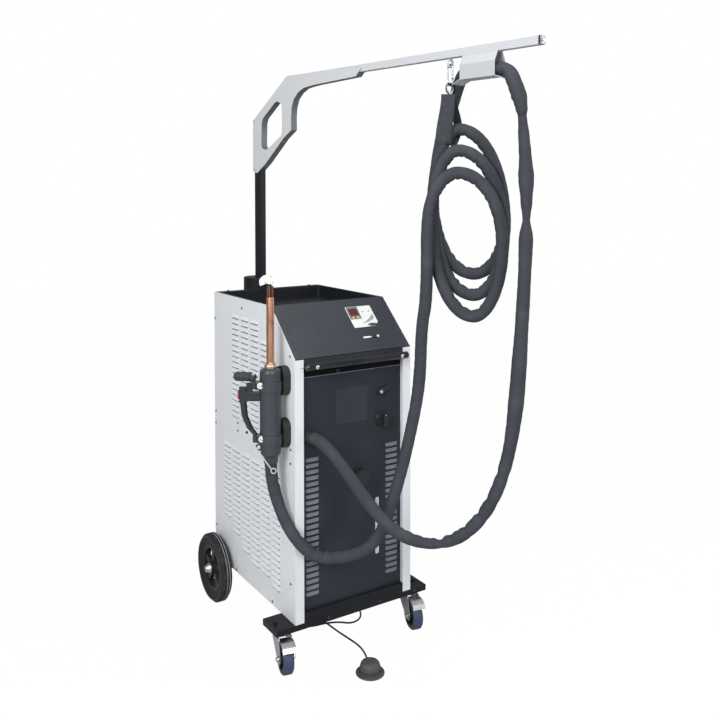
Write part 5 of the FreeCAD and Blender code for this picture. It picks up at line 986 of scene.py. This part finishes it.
turns = [math.radians(10 * step) for step in range(36)]
OVAL = [(0.125 + 0.0195 * math.cos(angle), 0.1095 + 0.0068 * math.sin(angle)) for angle in turns]
Form().plate(OVAL, 0.0016, SLOPE, 0.0002).piece("keypad_oval", "black_plastic")
oval_marks = Form()
for x in (0.113, 0.125, 0.137):
    oval_marks.plate(rect(x - 0.003, 0.108, x + 0.003, 0.111), 0.0018, SLOPE, 0.0, 0.001)
oval_marks.piece("oval_marks", "gold_key")
SOCKET = [
    (0.0078, 0), (0.0078, 0.0024), (0.0062, 0.0032), (0.005, 0.0032), (0.0046, 0.0006), (0.0016, 0.0004), (0, 0.0004),
]
Form().turned(SOCKET, at(SLOPE, 0.1074, 0.058)).piece("pedal_socket", "black_plastic")
ARROW = [(0.062, 0.0545), (0.088, 0.0545), (0.098, 0.058), (0.088, 0.0615), (0.062, 0.0615)]
socket_print = Form().plate(ARROW, 0.0004, SLOPE).plate(rect(0.118, 0.0545, 0.127, 0.0625), 0.0004, SLOPE)
socket_print.piece("socket_print", "overlay_sheet")

# Switch, push bar and latch

switch_mark = Form().block((0.0022, 0.003, 0.0004), at(FACE, SWITCH[0], SWITCH[1] + 0.0175, 0.0295), 0.0001)
switch_mark.piece("switch_mark", "white_plastic", "main_switch")
switch_circle = arc(FACE @ Vector((*SWITCH, 0.0065)), X_AXIS, Z_AXIS, 0.0236, 0, 352.5, 47)
Form().tube(switch_circle, 0.0012, 10, True).piece("switch_ring", "bar_coat")
bar_screws = Form()
for x in (-0.1666, 0.1701):
    seat = standing((x, -0.3645, 0.991), (0, -1, 0))
    bar_screws.turned([(0.0066, -0.0014), (0.0064, 0.0012), (0.005, 0.0026), (0.0028, 0.003)], seat, 28)
    bar_screws.turned([(0.0028, 0.003), (0.0026, 0.0012), (0, 0.0012)], seat, 6)
bar_screws.piece("push_bar_screws", "bright_steel")
latch_boss = [(0.0105, 0.0), (0.0105, 0.0022), (0.0092, 0.0032), (0.006, 0.0034)]
turned_set("latch_boss", "black_plastic", "latch", latch_boss, [at(FACE, *LATCH, 0.007)], 36)
latch_screw = Form()
pan_screw(latch_screw, at(FACE, *LATCH, 0.0104), 0.0046, 0.0022)
latch_screw.piece("latch_screw", "bright_steel", "latch")

# Torch

washers = Form()
screw_heads = Form()
bosses = Form()
for height, along in ((0.934, 0.03), (0.761, 0.026)):
    bosses.block((0.03, 0.02, 0.028), TORCH @ shift(along + 0.003, 0.0185, height), 0.0045)
    seat = TORCH @ shift(along, 0.0284, height) @ spin(-90, "X")
    washers.turned(
        [(0, -0.001), (0.0102, -0.001), (0.0102, 0.0012), (0.0092, 0.002), (0.006, 0.0021), (0.0058, 0.0012)], seat, 36
    )
    screw_heads.turned([(0.0058, 0.0008), (0.0056, 0.0026), (0.0044, 0.0041), (0.0026, 0.0048)], seat, 32)
    screw_heads.turned([(0.0026, 0.0048), (0.0023, 0.0024), (0, 0.0024)], seat, 6)
bosses.piece("clamp_bosses", "handle_plastic", "torch")
washers.piece("clamp_washers", "white_plastic", "torch")
pivot = TORCH @ shift(GRIP_ALONG, 0, 0.964)
screw_heads.turned([(0.0066, -0.0002), (0.0064, 0.0022), (0.0046, 0.0042), (0, 0.005)], pivot, 28)
screw_heads.piece("clamp_screws", "bright_steel", "torch")

handle_screw = [(0.0042, -0.002), (0.0042, 0.0004), (0.0032, 0.0006), (0.0026, -0.0006), (0, -0.0006)]
handle_places = ((0.086, 0.842), (0.0765, 0.778), (0.094, 0.888))
seats = [TORCH @ shift(along, 0.0104, height) @ spin(-90, "X") for along, height in handle_places]
turned_set("handle_screws", "black_plastic", "torch", handle_screw, seats, 24)

eye = TORCH @ Vector((0.037, 0.018, 0.732))
eye_wide = (TORCH @ Vector((0.038, 0.018, 0.732)) - eye).normalized()
eyelet = Form().tube(arc(eye, eye_wide, Z_AXIS, 0.0088, 0, 348, 30), 0.0028, 12, True)
eyelet.piece("tether_eye", "black_plastic", "torch")


def tether_line():
    """The light cord from the eye down to its snap on the hose."""
    start = TORCH @ Vector((0.0596, 0.036, 0.7579))
    end = TORCH @ Vector((-0.005, 0.04, 0.669))
    points = []
    for step in range(25):
        bow = math.sin(math.pi * (step / 24))
        points.append(start.lerp(end, step / 24) + (Vector((-0.1, -0.99, 0)) * 0.01 * bow - Z_AXIS * 0.003 * bow))
    return points


tether = Form().tube(tether_line(), 0.0023, 10)
snap = TORCH @ Vector((-0.013, 0.04, 0.662))
tether.tube(arc(snap, eye_wide, Z_AXIS, 0.008, 0, 348, 28), 0.0018, 10, True)
tether.piece("tether_cord", "tether_grey", "torch")

PIPE = [
    (0, 0.985), (0.015, 0.985), (0.015, 1.004), (0.0129, 1.0052), (0.0128, 1.212), (0.0122, 1.216), (0, 1.216),
]
Form().turned(PIPE, TORCH, 56).piece("copper_pipe", "drawn_copper", "torch", "copper", ("torch_barrel",))
NUT = [(0.014, 0), (0.0195, 0), (0.02, 0.001), (0.02, 0.01), (0.0192, 0.0112), (0.015, 0.0118)]
LOCK_RING = [(0.014, 0), (0.0172, 0), (0.0172, 0.004), (0.016, 0.0052), (0.013, 0.0056)]
collar = Form().turned(NUT, TORCH @ shift(0, 0, 0.986), 6).turned(LOCK_RING, TORCH @ shift(0, 0, 0.9978), 40)
collar.piece("collar_nuts", "tin_copper", "torch")
leads = Form()
for along, near, lean in ((-0.0072, 0.0, 0.0), (0.0015, 0.004, 0.001), (0.0078, -0.001, -0.0012)):
    points = [(along + lean * share, near, 1.214 + 0.04 * share) for share in (0, 0.3, 0.7, 1)]
    leads.tube([TORCH @ Vector(point) for point in points], 0.0036, 14)
leads.piece("coil_leads", "lead_copper", "torch", "copper", ("inductor",))
chips = random.Random(4)
bumps = [chips.uniform(0.88, 1.05) for _ in range(97)]
tip = Form().tube(
    arc(TORCH @ Vector((0.0125, 0, 1.265)), eye_wide, Z_AXIS, 0.0125, -34, 200, 9), 0.012, 8, False,
    lambda reached, angle, bend: bumps[int(reached * 900 + angle * 9) % len(bumps)],
)
tip.piece("ceramic_tip", "work_coil", "torch", "ceramic", (), 18)

grip_foot = TORCH @ shift(GRIP_ALONG, 0, 0.957)
shape = [(0, 0.009), (0.009, 0.0092), (0.0098, 0.013), (0.015, 0.0148), (0.0156, 0.0165), (0.0156, 0.019)]
for number in range(9):
    height = 0.0215 + number * 0.0074
    shape += [(0.0141, height), (0.0141, height + 0.0014), (0.0153, height + 0.0026), (0.0153, height + 0.006)]
shape += [(0.0157, 0.089), (0.0157, 0.093), (0.014, 0.0965), (0.009, 0.0985), (0, 0.0988)]
grip = Form().turned(shape, grip_foot @ spin(-49, "Z") @ spin(8, "Y") @ spin(90, "Y"), 48)
EAR = [(0.0046, -0.0068), (0.0112, -0.0068), (0.012, -0.0058), (0.012, 0.0058), (0.0112, 0.0068), (0.0046, 0.0068)]
grip.turned(EAR, grip_foot, 40)
grip.piece("side_grip_body", "grip_rubber", "side_grip", "torch_plastic", ("side_grip",))

# Arm: the bracket's cheek and its window as (along, height)

CHEEK = [
    (-0.0297, 1.6478), (-0.0281, 1.8488), (0.1952, 2.0096), (0.4518, 2.005), (0.62, 1.996),
    (0.59, 1.968), (0.37, 1.96), (0.3369, 1.9577), (0.2972, 1.9532), (0.2649, 1.9389),
    (0.2383, 1.9156), (0.2257, 1.8845), (0.2214, 1.8494), (0.2221, 1.7978), (0.1727, 1.7679),
    (0.058, 1.6729), (0.0012, 1.6356), (-0.0183, 1.6373),
]
CHEEK_WINDOW = [
    (0.0311, 1.835), (0.0402, 1.8546), (0.1179, 1.9115), (0.1363, 1.9153), (0.1576, 1.9058),
    (0.1629, 1.8956), (0.1645, 1.8074), (0.159, 1.7803), (0.0883, 1.7399), (0.0583, 1.7264),
    (0.036, 1.7326), (0.0282, 1.7477),
]
cheeks = Form().framed(CHEEK, CHEEK_WINDOW, 0.029, ARM @ on_panel(LEFT_AXES, (0.0145, 0, 0)))
cheeks.piece("head_bracket_box", "bracket_paint", "arm", "pale_paint", ("head_bracket",), 40)
arm_screws = Form()
for along, height in ((-0.0198, 1.8484), (-0.0179, 1.6475)):
    for way in (-1, 1):
        pan_screw(arm_screws, ARM @ shift(way * 0.0146, -along, height) @ spin(90 * way, "Y"), 0.0042, 0.0022)
for along, height in ((0.194, 1.792), (0.154, 1.756), (0.064, 1.685)):
    pan_screw(arm_screws, ARM @ shift(0, -along, height) @ spin(-140, "X"), 0.0048, 0.0026)
arm_screws.piece("arm_screws", "zinc", "arm")
end_bolt = Form()
hex_bolt(end_bolt, standing(on_arm(1.3676, 0, 1.9955), on_arm(1, 0, 0) - on_arm(0, 0, 0)), 0.0055, 0.0042)
end_bolt.piece("arm_end_bolt", "bright_steel", "arm")

# Pedal

PEDAL = shift(-0.037, -0.475, 0)
BRIM = [
    (0, 0.0004), (0.046, 0.0004), (0.047, 0.0014), (0.047, 0.0042), (0.0458, 0.0054), (0.038, 0.0062),
    (0.0345, 0.0068), (0.031, 0.0068), (0.0306, 0.019), (0, 0.019),
]
DOME = [
    (0, 0.027), (0.029, 0.0268), (0.0312, 0.025), (0.0314, 0.0134), (0.0336, 0.0132), (0.0342, 0.0146),
    (0.0338, 0.02), (0.0328, 0.027), (0.0306, 0.033), (0.0268, 0.0376), (0.0218, 0.0402), (0.015, 0.0416),
    (0.008, 0.0419), (0, 0.042),
]
brim = Form().turned(BRIM, PEDAL, 72)
brim.piece("pedal_brim", "pedal_rubber", "chassis", "pedal_rubber", ("pedal_base",))
dome = Form().turned(DOME, PEDAL, 72)
dome.piece("pedal_rubber_dome", "pedal_rubber", "pedal", "pedal_rubber", ("pedal_dome",))

# Running gear

TREAD = [
    (0.044, -0.0171), (0.0452, -0.0171), (0.0496, -0.013), (0.0501, -0.011), (0.0501, 0.011), (0.0496, 0.013),
    (0.0452, 0.0171), (0.044, 0.0171),
]
BRAKE_SHEET = [
    (0.033, 0.105), (0.06, 0.1108), (0.079, 0.1092), (0.092, 0.1022), (0.1, 0.09), (0.103, 0.0912),
    (0.0948, 0.1046), (0.0806, 0.1122), (0.06, 0.1138), (0.0324, 0.1078),
]
RIM_LIP = [(0.0812, -0.012), (0.0852, -0.0092), (0.0856, -0.0078), (0.0846, -0.0066), (0.0812, -0.007)]
HUB_STUD = [(0.003, 0), (0.0028, 0.001), (0, 0.0014)]

for name, side in (("left", -1), ("right", 1)):
    castor = shift(side * 0.257, -0.278, 0) @ spin(-12, "Z")
    axle = castor @ shift(0, -0.049, 0.05) @ spin(90, "Y")
    tread = Form().turned(TREAD, axle, 64)
    tread.piece("castor_tread_" + name, "blue_tread", "castor_wheel_" + name, "tread_rubber")
    nuts = Form()
    for way, turned_over in ((-1, 180), (1, 0)):
        hex_bolt(nuts, axle @ shift(0, 0, way * 0.0262) @ spin(turned_over, "X"), 0.0072, 0.0046)
    nuts.piece("castor_axle_nuts_" + name, "bright_steel", "castor_" + name)
    press = Form().plate(BRAKE_SHEET, 0.045, castor @ on_panel(LEFT_AXES, (0.0225, 0, 0)), 0.0008)
    for x in (-0.012, 0, 0.012):
        press.block((0.003, 0.02, 0.0016), castor @ shift(x, -0.069, 0.1132), 0.0007)
    press.piece("castor_brake_pad_" + name, "zinc", "castor_brake_" + name, None, (), 30)

    hub = shift(side * 0.2875, WHEEL_Y, WHEEL_Z) @ spin(90 * side, "Y")
    Form().turned(RIM_LIP, hub, 80).piece("rim_lip_" + name, "black_plastic", "rear_wheel_" + name)
    seats = [hub @ spin(36 + 72 * number, "Z") @ shift(0.0195, 0, -0.0006) for number in range(5)]
    turned_set("hub_studs_" + name, "black_plastic", "rear_wheel_" + name, HUB_STUD, seats, 16)


# Floor, light and camera


def stage_floor():
    """A pale floor that the camera sees as white and that still takes the shadow."""
    made = Finish("studio_floor", (0.5, 0.5, 0.5), 0.9)
    sees = made.node("LightPath", None, None, "Is Camera Ray")
    shine = made.node("Emission", None, {"Color": (1, 1, 1, 1), "Strength": 1.02})
    both = made.node("MixShader", None, {0: sees * 0.96, 1: Link(made, made.shader.outputs[0]), 2: shine})
    made.feed(made.tree.nodes["Material Output"].inputs["Surface"], both)
    data = bpy.data.meshes.new("floor")
    data.from_pydata([(-8, -8, 0), (8, -8, 0), (8, 8, 0), (-8, 8, 0)], [], [(0, 1, 2, 3)])
    data.materials.append(made.material)
    floor = shown("floor", data)


def studio_world(strength):
    world = bpy.data.worlds.new("studio")
    bpy.context.scene.world = world
    world.use_nodes = True
    tree = world.node_tree
    path = tree.nodes.new("ShaderNodeLightPath")
    seen = tree.nodes.new("ShaderNodeMath")
    seen.operation = "MAXIMUM"
    tree.links.new(path.outputs["Is Camera Ray"], seen.inputs[0])
    tree.links.new(path.outputs["Is Transmission Ray"], seen.inputs[1])
    level = tree.nodes.new("ShaderNodeMapRange")
    level.inputs[3].default_value = strength
    level.inputs[4].default_value = 1.0
    tree.links.new(seen.outputs[0], level.inputs[0])
    background = tree.nodes["Background"]
    background.inputs["Color"].default_value = (1, 1, 1, 1)
    tree.links.new(level.outputs[0], background.inputs["Strength"])


def lamp(name, place, target, size, power):
    data = bpy.data.lights.new(name, "AREA")
    data.shape = "RECTANGLE"
    data.size, data.size_y = size
    data.energy = power
    made = shown(name, data)
    made.location = place
    made.rotation_euler = (Vector(target) - Vector(place)).to_track_quat("-Z", "Y").to_euler()


def photo_camera():
    data = bpy.data.cameras.new("camera")
    data.sensor_width = 36
    data.lens = 41.71
    data.shift_y = -0.2037
    data.clip_start = 0.05
    camera = shown("camera", data)
    looking = spin(-32.73, "Z") @ spin(90 - 1.53, "X")
    camera.matrix_world = shift(-1.5023, -2.6974, 1.5609) @ looking @ spin(-0.07, "Z")
    bpy.context.scene.camera = camera


stage_floor()
studio_world(0.32)
lamp("key", (-3.4, -2.2, 3.0), (-0.1, -0.1, 0.9), (2.0, 2.0), 170)
lamp("top", (0.15, -0.4, 3.2), (0.1, -0.2, 0.9), (1.2, 1.6), 24)
lamp("front_fill", (-0.6, -4.4, 2.6), (0, -0.3, 0.9), (1.6, 1.6), 74)
lamp("right_rim", (3.2, -1.6, 2.2), (0, 0, 1.0), (0.9, 2.2), 40)
photo_camera()
bpy.context.scene.view_settings.view_transform = "Standard"
